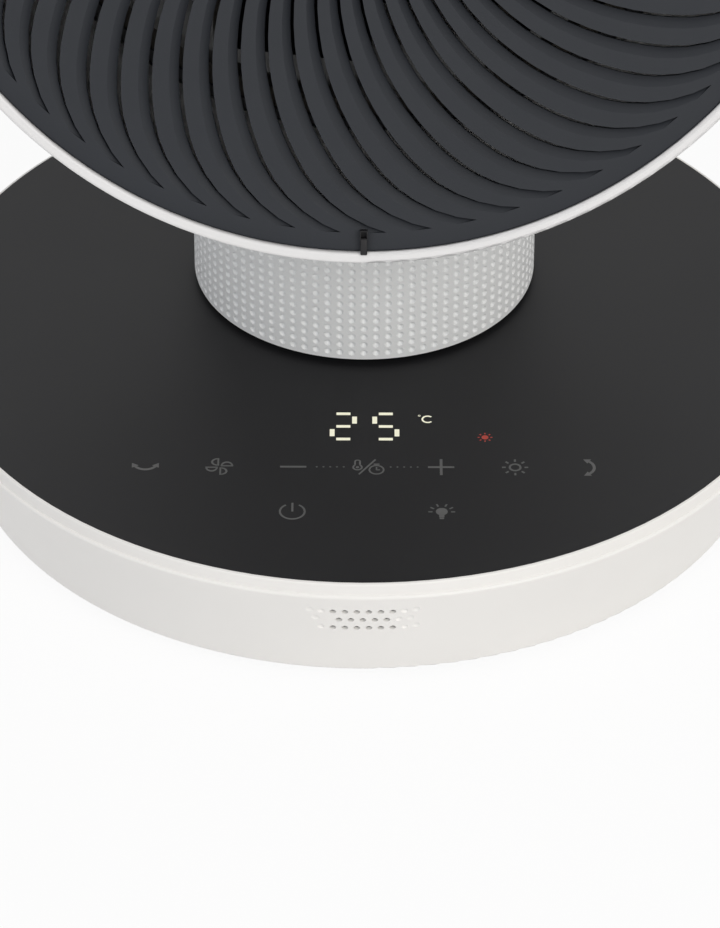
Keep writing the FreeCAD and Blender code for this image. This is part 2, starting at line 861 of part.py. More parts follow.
def make_yoke_base_screws():
    length = neck_cap_thickness + screw_bite
    return group([screw_up(x, y, neck_top, length) for x, y in hub_screw_places()])


def half_hoop(outer, inner, front, back):
    """Lower half of a flat hoop round the pivot, between two depths along the fan axis."""
    hoop = tube_y(outer, inner, neck_y + front, neck_y + back, 0, pivot_height)
    upper = span_box(-outer, outer, neck_y + front, neck_y + back, pivot_height, pivot_height + outer)
    return hoop.cut(upper)


def cover_screw_places():
    middle = (yoke_inner + yoke_outer) / 2
    return [(x, pivot_height + z) for x, z in (polar(middle, a) for a in cover_screw_angles)]


def make_yoke():
    """U-shaped arm on a round hub, hollow and open at the rear, with a round pod at each pivot."""
    half = yoke_width / 2
    section = outline([(yoke_inner, -half, yoke_edge_round), (yoke_outer, -half, yoke_front_round),
                       (yoke_outer, half, yoke_edge_round), (yoke_inner, half, yoke_edge_round)])
    hoop = Part.Face(section).revolve(ORIGIN, ALONG_Y, 180)
    hoop.translate(vec(0, neck_y, pivot_height))
    hub = rod(yoke_hub_radius, cap_top, pivot_height - yoke_inner, 0, neck_y)
    hub = hub.cut(rod_y(yoke_inner, neck_y - yoke_hub_radius, neck_y + yoke_hub_radius, 0, pivot_height))
    pods = [rod_x(pod_radius, yoke_inner, yoke_outer, neck_y, pivot_height),
            rod_x(pod_radius, -yoke_outer, -yoke_inner, neck_y, pivot_height)]
    body = joined([hoop, hub] + pods)
    channel = half_hoop(yoke_outer - yoke_wall, yoke_inner + yoke_wall, yoke_wall - half, half)
    posts = [rod_y(cover_post_radius, neck_y - half, neck_y + half - yoke_wall, x, z)
             for x, z in cover_screw_places()]
    hollow = without(channel, posts)
    recesses = [rod_x(pod_recess_radius, yoke_inner + yoke_wall, yoke_outer, neck_y, pivot_height),
                rod_x(pod_recess_radius, -yoke_outer, -yoke_inner - yoke_wall, neck_y, pivot_height)]
    pins = [rod_x(trunnion_radius + running_clearance, -yoke_outer, yoke_outer, neck_y, pivot_height)]
    wires = [rod(yoke_hub_bore, cap_top, pivot_height - yoke_outer + yoke_wall, 0, neck_y)]
    wires += [rod(screw_radius, cap_top, cap_top + screw_bite, x, y) for x, y in hub_screw_places()]
    pilots = [rod_y(screw_radius, neck_y + half - yoke_wall - screw_bite, neck_y + half, x, z)
              for x, z in cover_screw_places()]
    return without(body, [hollow] + recesses + pins + wires + pilots)


def make_yoke_cover():
    """Rear cover, flush with the edges of the yoke's channel."""
    half = yoke_width / 2
    cover = half_hoop(yoke_outer - yoke_wall - seat_clearance, yoke_inner + yoke_wall + seat_clearance,
                      half - yoke_wall, half)
    pods = [rod_x(pod_radius, -yoke_outer, yoke_outer, neck_y, pivot_height)]
    holes = [rod_y(screw_radius, neck_y, neck_y + half, x, z) for x, z in cover_screw_places()]
    return without(cover, pods + holes)


def make_yoke_screws():
    seat = neck_y + yoke_width / 2
    screws = []
    for x, z in cover_screw_places():
        head = rod_y(screw_head_radius, seat, seat + screw_head_height, x, z)
        thread = rod_y(screw_radius, seat - yoke_wall - screw_bite, seat, x, z)
        screws.append(joined([head, thread]))
    return group(screws)


def pod_piece(side, length):
    """Round block in a pod's recess, bored for the trunnion."""
    inner = yoke_inner + yoke_wall
    start = inner if side > 0 else -inner - length
    return tube_x(pod_recess_radius - seat_clearance, trunnion_radius + running_clearance,
                  start, start + length, neck_y, pivot_height)


def make_tilt_motor():
    return pod_piece(1, tilt_motor_length)


def make_pivot_bush():
    return pod_piece(-1, tilt_motor_length)


def make_pod_cap(side):
    """Round cap with a softened edge and a plug that locates it in the recess."""
    outer = yoke_outer + pod_cap_thickness
    cap = turned_z([(0, yoke_outer), (pod_radius, yoke_outer),
                    (pod_radius, outer, pod_cap_round), (0, outer)])
    plug_length = yoke_thickness - yoke_wall - tilt_motor_length
    plug = rod(pod_recess_radius - seat_clearance, yoke_outer - plug_length, yoke_outer)
    room = rod(trunnion_radius + seat_clearance, yoke_outer - plug_length, yoke_outer)
    cap = joined([cap, plug]).cut(room)
    cap.rotate(ORIGIN, ALONG_Y, 90 * side)
    cap.translate(vec(0, neck_y, pivot_height))
    return cap


# Head, drawn level with the pivot at the origin

def shell_boss_circle():
    """Circle of the shell screws: their heads just clear the inside of the rear shell."""
    head_end = shell_split + shell_boss_length + screw_head_height
    return sphere_radius_at(head_radius - head_wall, head_end) - screw_head_radius - seat_clearance


def shell_boss_places():
    return circle_places(shell_boss_circle(), shell_boss_count, 45)


def shell_boss(low, high, x, z):
    """Screw boss that reaches into the middle of the shell's wall."""
    ball = head_radius - head_wall / 2
    return rod_y(ball - shell_boss_circle(), low, high, x, z).common(Part.makeSphere(ball))


def make_front_ring():
    back_flange = ring_bore - ring_flange_width
    flange_front = -ring_back - ring_flange
    section = outline([(ring_bore, -head_front, ring_edge_round),
                       (ring_radius, -head_front, ring_edge_round),
                       (ring_radius, -ring_back, ring_edge_round), (back_flange, -ring_back),
                       (back_flange, flange_front), (ring_bore, flange_front)])
    return turned_y(section.Edges)


def swirl_points():
    """Tip, middle, knee, middle and hub end of one swirl line: a tight arc at the rim, then a wide one."""
    lean = math.radians(slot_tip_lean)
    knee_angle = lean + math.radians(slot_knee_sweep)
    first = (slot_tip_radius - slot_tip_arc * math.cos(lean), -slot_tip_arc * math.sin(lean))
    knee = (first[0] + slot_tip_arc * math.cos(knee_angle), first[1] + slot_tip_arc * math.sin(knee_angle))
    second = (knee[0] - slot_hub_arc * math.cos(knee_angle), knee[1] - slot_hub_arc * math.sin(knee_angle))
    reach = math.hypot(*second)
    closing = (slot_hub_radius ** 2 - reach ** 2 - slot_hub_arc ** 2) / (2 * slot_hub_arc * reach)
    end_angle = math.atan2(second[1], second[0]) + math.acos(closing)
    points = []
    for center, radius, angle in ((first, slot_tip_arc, lean),
                                  (first, slot_tip_arc, (lean + knee_angle) / 2),
                                  (first, slot_tip_arc, knee_angle),
                                  (second, slot_hub_arc, (knee_angle + end_angle) / 2),
                                  (second, slot_hub_arc, end_angle)):
        points.append((center[0] + radius * math.cos(angle), center[1] + radius * math.sin(angle)))
    return points


def turned_point(point, degrees):
    return polar(math.hypot(*point), math.degrees(math.atan2(point[1], point[0])) + degrees)


def slot_face():
    """One slot: a swirl line and its turned copy, joined by a short edge along the circle of the tips."""
    pitch = 360.0 / slot_count
    near = swirl_points()
    far = [turned_point(point, share * pitch) for point, share in zip(near, slot_open_shares)]
    near, far = ([vec(x, -grille_face, -z) for x, z in side] for side in (near, far))
    return Part.Face(Part.Wire([Part.Arc(near[0], near[1], near[2]).toShape(),
                                Part.Arc(near[2], near[3], near[4]).toShape(),
                                Part.LineSegment(near[4], far[4]).toShape(),
                                Part.Arc(far[4], far[3], far[2]).toShape(),
                                Part.Arc(far[2], far[1], far[0]).toShape(),
                                Part.LineSegment(far[0], near[0]).toShape()]))


def make_front_grille():
    """Plate with swirl slots that end near the rim, and a rim that seats on the ring's flange."""
    plate = rod_y(grille_radius, -grille_face, -grille_back)
    rim = tube_y(grille_radius, grille_radius - grille_rim, -grille_back, -ring_back - ring_flange)
    slot = slot_face().extrude(vec(0, grille_thickness, 0))
    slots = []
    for i in range(slot_count):
        copy = slot.copy()
        copy.rotate(ORIGIN, ALONG_Y, (i + slot_phase) * 360.0 / slot_count)
        slots.append(copy)
    return joined([plate, rim]).cut(Part.makeCompound(slots))


def make_grille_latch():
    """Black hook at the bottom of the grille that reaches over the ring."""
    half = latch_width / 2
    split = latch_inner_radius + latch_block_length
    block_piece = span_box(-half, half, -head_front - latch_height, -grille_face, -split, -latch_inner_radius)
    hook = span_box(-half, half, -head_front - latch_height, -head_front, -latch_outer_radius, -split)
    neck = span_box(-half, half, -head_front, -grille_face, -grille_radius + grille_rim / 2, -split)
    return joined([block_piece, hook, neck])


def parting_edges(side):
    """Flat end of a shell at the parting plane, with a bevel out to its round body."""
    rim = sphere_radius_at(head_radius, shell_split) - shell_groove
    body = shell_split + side * shell_groove
    return [line((sphere_radius_at(head_radius - head_wall, shell_split), shell_split), (rim, shell_split)),
            line((rim, shell_split), (sphere_radius_at(head_radius, body), body))]


def make_front_shell():
    """Round body that flares out to carry the ring, with bosses for the trunnions and the screws."""
    flare_radius = sphere_radius_at(head_radius, flare_start)
    inner = head_radius - head_wall
    inner_start = flare_start - flare_wall
    rim = ring_radius - ring_edge_round
    outside = [sphere_arc(head_radius, shell_split - shell_groove, -flare_start),
               line((flare_radius, -flare_start), (rim, -ring_back + flare_wall)),
               line((rim, -ring_back + flare_wall), (rim, -ring_back)),
               line((rim, -ring_back), (rim - ring_flange_width, -ring_back)),
               line((rim - ring_flange_width, -ring_back),
                    (sphere_radius_at(inner, inner_start), -inner_start)),
               sphere_arc(inner, -inner_start, shell_split)]
    outside += parting_edges(-1)
    shell = turned_y(outside)
    bosses = [shell_boss(shell_split - shell_boss_length, shell_split, x, z) for x, z in shell_boss_places()]
    ball = Part.makeSphere(head_radius - head_wall / 2)
    ahead = span_box(-head_radius, head_radius, -head_radius, shell_split, -head_radius, head_radius)
    start = trunnion_start()
    for low, high in ((start, head_radius), (-head_radius, -start)):
        bosses.append(rod_x(trunnion_boss_radius, low, high).common(ball).common(ahead))
    pilots = [rod_y(screw_radius, shell_split - screw_bite, shell_split, x, z)
              for x, z in shell_boss_places()]
    pins = [rod_x(trunnion_radius, -head_radius, head_radius)]
    return without(joined([shell] + bosses), pilots + pins)


def trunnion_start():
    """Inner end of a trunnion boss, just outside the duct."""
    return duct_bore + duct_wall + trunnion_head + seat_clearance


def make_rear_shell():
    inner = head_radius - head_wall
    lip_back = head_back - rear_grille_thickness
    outer_end = sphere_radius_at(head_radius, head_back)
    seat = outer_end - head_wall
    lip_radius = seat - rear_lip_width
    meet = lip_back - rear_lip
    edges = [sphere_arc(head_radius, shell_split + shell_groove, head_back),
             line((outer_end, head_back), (seat, head_back)),
             line((seat, head_back), (seat, lip_back)),
             line((seat, lip_back), (lip_radius, lip_back)),
             line((lip_radius, lip_back), (lip_radius, meet)),
             line((lip_radius, meet), (sphere_radius_at(inner, meet), meet)),
             sphere_arc(inner, meet, shell_split)]
    shell = turned_y(edges + parting_edges(1))
    boss_end = shell_split + shell_boss_length
    bosses = [shell_boss(shell_split, boss_end, x, z) for x, z in shell_boss_places()]
    holes = [rod_y(screw_radius, shell_split, boss_end, x, z) for x, z in shell_boss_places()]
    return without(joined([shell] + bosses), holes)


def make_shell_screws():
    seat = shell_split + shell_boss_length
    screws = []
    for x, z in shell_boss_places():
        head = rod_y(screw_head_radius, seat, seat + screw_head_height, x, z)
        thread = rod_y(screw_radius, shell_split - screw_bite, seat, x, z)
        screws.append(joined([head, thread]))
    return group(screws)


def make_rear_grille():
    """Intake grille with two rings of straight slots round a plain middle."""
    radius = sphere_radius_at(head_radius, head_back) - head_wall - seat_clearance
    plate = rod_y(radius, head_back - rear_grille_thickness, head_back)
    half = rear_slot_width / 2
    slots = []
    for row in range(rear_row_count):
        outer = radius - rear_slot_margin - row * (rear_slot_length + rear_row_gap)
        inner = outer - rear_slot_length
        count = int(2 * math.pi * inner / rear_slot_pitch)
        slot = span_box(inner, outer, head_back - rear_grille_thickness, head_back, -half, half)
        for i in range(count):
            copy = slot.copy()
            copy.rotate(ORIGIN, ALONG_Y, 360.0 * i / count)
            slots.append(copy)
    return without(plate, slots)


def make_trunnion(side):
    """Headed pin from the inside of a boss out to the yoke's pod."""
    start = trunnion_start()
    end = yoke_inner + yoke_wall + tilt_motor_length
    head = rod_x(trunnion_head_radius, start - trunnion_head, start)
    pin = joined([head, rod_x(trunnion_radius, start, end)])
    if side < 0:
        pin.rotate(ORIGIN, ALONG_Z, 180)
    return pin


def make_duct_ring():
    wall = tube_y(duct_bore + duct_wall, duct_bore, -duct_front, duct_back)
    back = -duct_flange_front + duct_flange
    reach = sphere_radius_at(head_radius - head_wall, duct_flange_front) - seat_clearance
    inner_start = flare_start - flare_wall
    reach = min(reach, sphere_radius_at(head_radius - head_wall, inner_start) - seat_clearance)
    flange = tube_y(reach, duct_bore + duct_wall / 2, -duct_flange_front, back)
    return joined([wall, flange])


def heater_rail_face():
    """Front face of the rails that the heater bars lie on."""
    return -heater_front + heater_depth - heater_rail_depth


def make_heater_frame():
    outer = duct_bore - seat_clearance
    inner = outer - heater_ring_width
    ring = tube_y(outer, inner, -heater_front, -heater_front + heater_depth)
    middle = outer - heater_ring_width / 2
    rails = []
    for side in (-1, 1):
        x = side * heater_rail_x
        reach = sphere_radius_at(middle, heater_rail_x + heater_rail_width / 2)
        rails.append(span_box(x - heater_rail_width / 2, x + heater_rail_width / 2, heater_rail_face(),
                              heater_rail_face() + heater_rail_depth, -reach, reach))
    return joined([ring] + rails)


def make_heater_bars():
    bars = []
    inner = duct_bore - seat_clearance - heater_ring_width
    depth = heater_depth - heater_rail_depth
    for i in range(heater_bar_count):
        z = (i - (heater_bar_count - 1) / 2) * heater_bar_pitch
        reach = sphere_radius_at(inner, abs(z) + heater_bar_height / 2) - seat_clearance
        bars.append(span_box(-reach, reach, heater_rail_face() - depth, heater_rail_face(),
                             z - heater_bar_height / 2, z + heater_bar_height / 2))
    return group(bars)


def make_thermal_cutout():
    face = heater_rail_face()
    return rod_y(cutout_radius, face - cutout_height, face, heater_rail_x, heater_bar_pitch / 2)


def make_motor_can():
    """Closed can with a bearing seat at each end."""
    can = rod_y(motor_radius, motor_front, motor_back)
    hollow = rod_y(motor_radius - motor_wall, motor_front + bearing_width, motor_back - bearing_width)
    seats = [rod_y(bearing_radius, motor_front, motor_front + bearing_width),
             rod_y(bearing_radius, motor_back - bearing_width, motor_back)]
    return without(can, [hollow] + seats)


def make_motor_bearings():
    bore = shaft_radius + running_clearance
    return group([tube_y(bearing_radius, bore, motor_front, motor_front + bearing_width),
                  tube_y(bearing_radius, bore, motor_back - bearing_width, motor_back)])


def make_motor_stator():
    outer = motor_radius - motor_wall
    middle = (motor_front + motor_back) / 2
    return tube_y(outer, outer - stator_wall, middle - rotor_length / 2, middle + rotor_length / 2)


def make_motor_bracket():
    """Rim round the motor and arms out to the duct."""
    back = duct_back
    front = back - bracket_depth
    rim = tube_y(motor_radius + bracket_rim, motor_radius, front, back)
    arms = []
    for i in range(bracket_arm_count):
        arm = span_box(motor_radius + bracket_rim / 2, duct_bore, front, back,
                       -bracket_arm_width / 2, bracket_arm_width / 2)
        arm = arm.common(rod_y(duct_bore, front, back))
        arm.rotate(ORIGIN, ALONG_Y, 90 + 360.0 * i / bracket_arm_count)
        arms.append(arm)
    return joined([rim] + arms)


# Fan

def blade_section(radius, chord, pitch):
    """Slanted flat section of a blade at a radius."""
    along = vec(0, math.cos(math.radians(pitch)), math.sin(math.radians(pitch)))
    across = vec(0, -along.z, along.y)
    middle = vec(radius, blade_middle, 0)
    corners = []
    for a, b in ((-1, -1), (1, -1), (1, 1), (-1, 1)):
        corners.append(middle + along * (a * chord / 2) + across * (b * blade_thickness / 2))
    return Part.makePolygon(corners + corners[:1])


def make_impeller():
    hub = rod_y(impeller_hub_radius, -impeller_front, impeller_back)
    cup = rod_y(impeller_hub_radius - impeller_hub_wall, impeller_hub_wall - impeller_front, impeller_back)
    core = rod_y(nut_radius, -impeller_front, impeller_back)
    root = impeller_hub_radius - impeller_hub_wall / 2
    blade = Part.makeLoft([blade_section(root, blade_root_chord, blade_root_pitch),
                           blade_section(impeller_radius, blade_tip_chord, blade_tip_pitch)], True, True)
    blades = []
    for i in range(blade_count):
        copy = blade.copy()
        copy.rotate(ORIGIN, ALONG_Y, 360.0 * i / blade_count)
        blades.append(copy)
    body = joined([hub] + blades).cut(cup)
    return joined([body, core]).cut(rod_y(shaft_radius, -impeller_front, impeller_back))


def make_motor_shaft():
    return rod_y(shaft_radius, -shaft_front, motor_back)


def make_motor_rotor():
    middle = (motor_front + motor_back) / 2
    radius = motor_radius - motor_wall - stator_wall - rotor_gap
    return tube_y(radius, shaft_radius, middle - rotor_length / 2, middle + rotor_length / 2)


def make_impeller_nut():
    front = -impeller_front - nut_length
    nut = turned_y([line((0, front), (nut_radius / 2, front)),
                    line((nut_radius / 2, front), (nut_radius, front + nut_length / 2)),
                    line((nut_radius, front + nut_length / 2), (nut_radius, -impeller_front)),
                    line((nut_radius, -impeller_front), (0, -impeller_front)),
                    line((0, -impeller_front), (0, front))])
    return nut.cut(rod_y(shaft_radius, -shaft_front, -impeller_front))


def placed_on_yoke(shape):
    """Tilt a level head piece about the pivot and lift it to its place."""
    shape.rotate(ORIGIN, -ALONG_X, head_tilt)
    shape.translate(vec(0, neck_y, pivot_height))
    return shape


def make_parts():
    tray = make_base_tray()
    parts = {
        "base_tray": tray,
        "panel_frame": make_panel_frame(),
        "touch_panel": make_touch_panel(),
        "base_weight": make_base_weight(),
        "rubber_feet": make_rubber_feet(),
        "base_screws": make_base_screws(),
        "touch_board": make_touch_board(),
        "board_screws": make_board_screws(),
        "touch_springs": make_touch_springs(),
        "display_module": make_display_module(),
        "power_board": make_power_board(),
        "power_transformer": make_power_transformer(),
        "heater_relay": make_heater_relay(),
        "power_capacitors": make_power_capacitors(),
        "cord_gland": make_cord_gland(tray),
        "room_sensor": make_room_sensor(),
        "tip_switch": make_tip_switch(),
        "tip_plunger": make_tip_plunger(),
        "swivel_seat": make_swivel_seat(),
        "swivel_seat_screws": make_swivel_seat_screws(),
        "thrust_washer": make_thrust_washer(),
        "yaw_motor": make_yaw_motor(),
        "yaw_motor_screws": make_yaw_motor_screws(),
        "yaw_pinion": make_yaw_pinion(),
        "yaw_gear": make_yaw_gear(),
        "swivel_spindle": make_swivel_spindle(),
        "swivel_retainer": make_swivel_retainer(),
        "neck_sleeve": make_neck_sleeve(),
        "neck_screws": make_neck_screws(),
        "neck_cap": make_neck_cap(),
        "yoke": make_yoke(),
        "yoke_base_screws": make_yoke_base_screws(),
        "yoke_cover": make_yoke_cover(),
        "yoke_screws": make_yoke_screws(),
        "tilt_motor": make_tilt_motor(),
        "pivot_bush": make_pivot_bush(),
        "left_pod_cap": make_pod_cap(-1),
        "right_pod_cap": make_pod_cap(1),
    }
    head = {
        "front_ring": make_front_ring(),
        "front_grille": make_front_grille(),
        "grille_latch": make_grille_latch(),
        "front_shell": make_front_shell(),
        "rear_shell": make_rear_shell(),
        "shell_screws": make_shell_screws(),
        "rear_grille": make_rear_grille(),
        "left_trunnion": make_trunnion(-1),
        "right_trunnion": make_trunnion(1),
        "duct_ring": make_duct_ring(),
        "heater_frame": make_heater_frame(),
        "heater_bars": make_heater_bars(),
        "thermal_cutout": make_thermal_cutout(),
        "motor_bracket": make_motor_bracket(),
        "motor_can": make_motor_can(),
        "motor_stator": make_motor_stator(),
        "motor_bearings": make_motor_bearings(),
        "impeller": make_impeller(),
        "impeller_nut": make_impeller_nut(),
        "motor_shaft": make_motor_shaft(),
        "motor_rotor": make_motor_rotor(),
    }
    parts.update({name: placed_on_yoke(shape) for name, shape in head.items()})
    return parts


os.makedirs("parts", exist_ok=True)
for node, shape in make_parts().items():
    shape.exportStep("parts/" + node + ".step")
    print(node, len(shape.Solids), "solids", round(shape.Volume), "mm3", shape.isValid())
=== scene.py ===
"""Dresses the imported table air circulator: detailed meshes, procedural finishes and a plain studio stage.

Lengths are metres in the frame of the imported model: +Z is up, the front faces -Y and the base stands
on Z = 0.
Pieces of the head are modelled facing up, with the fan axis along Z and the tilt pivot at the origin.
"""
import bmesh
import bpy
import json
import math
from bpy.props import FloatProperty, FloatVectorProperty, IntProperty, PointerProperty
from mathutils import Matrix, Vector


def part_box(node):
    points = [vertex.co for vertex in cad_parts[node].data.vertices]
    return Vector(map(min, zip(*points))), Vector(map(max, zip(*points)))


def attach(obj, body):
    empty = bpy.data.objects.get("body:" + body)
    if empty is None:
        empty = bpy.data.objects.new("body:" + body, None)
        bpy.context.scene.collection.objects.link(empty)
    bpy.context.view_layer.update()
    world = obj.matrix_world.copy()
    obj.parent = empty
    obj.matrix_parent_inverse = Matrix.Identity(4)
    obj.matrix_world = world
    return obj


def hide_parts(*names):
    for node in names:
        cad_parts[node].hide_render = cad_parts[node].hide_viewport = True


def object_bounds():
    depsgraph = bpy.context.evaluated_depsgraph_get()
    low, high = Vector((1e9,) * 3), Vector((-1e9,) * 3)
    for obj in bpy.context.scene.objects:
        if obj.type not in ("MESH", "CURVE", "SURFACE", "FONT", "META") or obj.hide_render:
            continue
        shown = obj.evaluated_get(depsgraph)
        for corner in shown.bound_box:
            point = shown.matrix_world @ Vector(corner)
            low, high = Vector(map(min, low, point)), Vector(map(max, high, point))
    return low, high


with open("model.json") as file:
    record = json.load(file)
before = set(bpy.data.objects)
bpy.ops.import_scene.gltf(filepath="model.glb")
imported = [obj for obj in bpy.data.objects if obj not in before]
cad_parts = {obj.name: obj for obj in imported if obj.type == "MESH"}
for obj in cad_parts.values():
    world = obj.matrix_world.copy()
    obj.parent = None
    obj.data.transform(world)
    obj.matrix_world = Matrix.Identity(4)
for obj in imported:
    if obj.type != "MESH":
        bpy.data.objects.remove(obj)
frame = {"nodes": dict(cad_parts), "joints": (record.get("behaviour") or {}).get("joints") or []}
CAD_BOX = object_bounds()

bl_info = {
    "name": "Table Air Circulator",
    "version": (1, 0, 0),
    "blender": (4, 5, 0),
    "location": "View3D > Sidebar > Circulator",
    "description": "Dresses the packed air circulator with detailed meshes, finishes and a stage",
    "category": "Object",
}

MM = 0.001
FULL_TURN = 2 * math.pi
MERGE_DISTANCE = 0.002 * MM
SHARP_ANGLE = math.radians(32)

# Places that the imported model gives
JOINTS = {joint["name"]: joint for joint in frame["joints"]}
PIVOT = Vector(JOINTS["head_tilt"]["pos_m"])
FAN_AXIS = Vector(JOINTS["fan_spin"]["axis"])
HEAD_TILT = math.atan2(FAN_AXIS.z, -FAN_AXIS.y)
# From a head that faces straight up to the head as it stands on the yoke
FACE = Matrix.Translation(PIVOT) @ Matrix.Rotation(math.pi / 2 - HEAD_TILT, 4, "X")


def box_of(places):
    """Lowest and highest corners round some places."""
    low = Vector(min(place[i] for place in places) for i in range(3))
    high = Vector(max(place[i] for place in places) for i in range(3))
    return low, high


def face_box(node):
    """Lowest and highest corners of a head node, in the frame of the head that faces up."""
    turn = FACE.inverted()
    return box_of([turn @ vertex.co for vertex in frame["nodes"][node].data.vertices])


PANEL_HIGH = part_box("touch_panel")[1]
NECK_LOW, NECK_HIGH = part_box("neck_sleeve")
RING_HIGH = face_box("front_ring")[1]
GRILLE_LOW, GRILLE_HIGH = face_box("front_grille")
LATCH_LOW, LATCH_HIGH = face_box("grille_latch")


# Sizes and colours that a user would change

def linear(red, green, blue):
    """Scene-linear colour of a display colour given as 0 to 255."""
    shares = (red / 255, green / 255, blue / 255)
    return tuple(c / 12.92 if c <= 0.04045 else ((c + 0.055) / 1.055) ** 2.4 for c in shares)


def length(name, description, millimetres):
    return FloatProperty(name=name, description=description, default=millimetres * MM, unit="LENGTH",
                         precision=5)


def angle(name, description, degrees):
    return FloatProperty(name=name, description=description, default=math.radians(degrees), unit="ROTATION")


def share(name, description, value):
    return FloatProperty(name=name, description=description, default=value, min=0.0, max=1.0,
                         subtype="FACTOR")


def amount(name, description, value):
    return FloatProperty(name=name, description=description, default=value, min=0.0)


def position(name, description, x, y, z):
    return FloatVectorProperty(name=name, description=description, default=(x, y, z), size=3, unit="LENGTH")


def colour(name, description, red, green, blue):
    return FloatVectorProperty(name=name, description=description, default=linear(red, green, blue),
                               size=3, min=0.0, max=1.0, subtype="COLOR")


class CirculatorColours(bpy.types.PropertyGroup):
    """Colours of the finishes"""
    shell: colour("White Shell", "Moulded plastic of the base, yoke and head", 241, 239, 237)
    # The ring is the same white plastic as the shell; its greyer colour is painted shade for its face that
    # turns down, away from the light
    ring: colour("Pale Ring", "Front ring of the head, a little greyer than the shell", 226, 225, 226)
    neck: colour("White Neck", "Dimpled sleeve of the neck", 232, 233, 234)
    panel: colour("Black Panel", "Satin touch panel", 23, 23, 25)
    symbols: colour("Key Symbols", "Print of the touch keys", 95, 95, 95)
    digits: colour("Digits", "Lit digits of the display", 255, 252, 226)
    signal: colour("Heat Signal", "Small lit sun beside the digits", 196, 66, 52)
    grille: colour("Front Grille", "Dark plastic of the front grille", 31, 34, 40)
    trim: colour("Black Trim", "Latch and cord bush", 27, 26, 28)


class CirculatorNeck(bpy.types.PropertyGroup):
    """Dimpled sleeve of the neck"""
    columns: IntProperty(name="Columns", description="Dimples round the neck", default=90, min=12)
    rows: IntProperty(name="Rows", description="Dimples up the neck", default=12, min=1)
    row_pitch: length("Row Pitch", "Height from one row to the next", 2.9)
    first_row: length("First Row", "Middle of the lowest row above the foot of the sleeve", 2.4)
    dimple_radius: length("Dimple Radius", "Radius of a dimple at the surface", 1.14)
    dimple_depth: length("Dimple Depth", "Depth of a dimple in its middle", 1.05)
    wall: length("Wall", "Thickness of the sleeve", 2.4)


class CirculatorKeys(bpy.types.PropertyGroup):
    """Printed keys and lit display of the touch panel"""
    pitch: length("Key Pitch", "From one key to the next", 21.4)
    shift: length("Shift", "Middle of the keys, right of the panel's middle", 1.1)
    row_inset: length("Upper Row", "Upper row, in from the panel's front edge", 54.2)
    lower_row_inset: length("Lower Row", "Lower row, in from the panel's front edge", 32.9)
    ink: length("Ink", "Thickness of the printed film", 0.04)
    digits_inset: length("Digits", "Middle of the digits, in from the panel's front edge", 73.9)
    digit_pitch: length("Digit Pitch", "From one digit to the next", 12.4)
    digits_shift: length("Digits Shift", "Middle of the two digits, left of the keys' middle", 0.8)
    degree_shift: length("Degree Shift", "Degree sign, right of the digits' middle", 17.7)
    degree_rise: length("Degree Rise", "Degree sign, behind the digits' middle", 3.6)
    signal_shift: length("Signal Shift", "Heat signal, right of the digits' middle", 35.1)
    signal_drop: length("Signal Drop", "Heat signal, in front of the digits' middle", 5.2)


class CirculatorGrille(bpy.types.PropertyGroup):
    """Swirl grille in front of the fan"""
    slots: IntProperty(name="Slots", description="Number of swirl slots", default=64, min=8)
    tip_inset: length("Tip Inset", "Slot tips, in from the grille's edge", 5.3)
    tip_lean: angle("Tip Lean", "Between a slot and the circle at its tip", 18.0)
    tip_arc: length("Tip Arc", "Bend of a slot near the rim", 38.0)
    knee_sweep: angle("Knee Sweep", "How far the tight bend turns", 45.0)
    hub_arc: length("Hub Arc", "Bend of a slot towards the hub", 75.0)
    hub_radius: length("Hub Radius", "Plain middle of the grille", 44.0)
    open_share: share("Open Share", "Part of the pitch that is open at the tips", 0.43)
    hub_open_share: share("Hub Open Share", "Part of the pitch that is open at the hub", 0.5)
    bar_depth: length("Bar Depth", "Thickness of the bars", 3.0)
    slope_share: share("Slope Share", "Part of a slot that its sloping side takes", 0.7)
    slope_depth: length("Slope Depth", "How far the sloping side sinks", 1.9)
    tip_depth: length("Tip Depth", "How far the sloping side sinks at the tips", 1.15)
    tip_slope_share: share("Tip Slope Share", "Part of a slot that its sloping side takes at the tip", 0.86)
    fade: length("Fade", "From the slot tips to where the slots have their full depth", 16.0)


class CirculatorFeet(bpy.types.PropertyGroup):
    """Rubber feet under the base"""
    edge_round: length("Edge Round", "Softening of the lower edge", 0.8)
    groove_inset: length("Groove Inset", "Outer side of the ring groove, in from the edge", 2.2)
    groove_width: length("Groove Width", "Width of the ring groove at the tread", 2.4)
    groove_depth: length("Groove Depth", "Depth of the ring groove", 0.8)


class CirculatorStage(bpy.types.PropertyGroup):
    """Camera, light and floor"""
    lens: amount("Lens", "Focal length for a sensor 36 mm high", 214.6)
    camera_place: position("Camera Place", "Where the camera stands", 0.0017, -1.3553, 1.0033)
    camera_pitch: angle("Camera Pitch", "How far the camera looks down", 36.883)
    camera_azimuth: angle("Camera Azimuth", "How far the camera looks to the left", 0.12)
    camera_roll: angle("Camera Roll", "How far the camera leans", 0.096)
    sky: amount("Sky", "Strength of the even light from all round", 0.46)
    key: amount("Key", "Power of the lamp at the front right", 17.0)
    fill: amount("Fill", "Power of the lamp at the front left", 6.8)
    back: amount("Back", "Power of each lamp behind", 4.3)
    front_lamp: position("Front Lamp", "Place of the front right lamp and its mirror", 0.9, -1.5, 1.2)
    back_lamp: position("Back Lamp", "Place of the back right lamp and its mirror", 1.6, 1.2, 0.8)
    lamp_size: length("Lamp Size", "Width of each round lamp", 1200.0)
    floor_reach: length("Floor Reach", "From the middle of the floor to its edge", 6000.0)
    floor_tone: share("Floor Tone", "Grey of the floor where light falls on it", 0.86)
    floor_glow: share("Floor Glow", "Part of the floor's white that needs no light", 0.92)


# Meshes

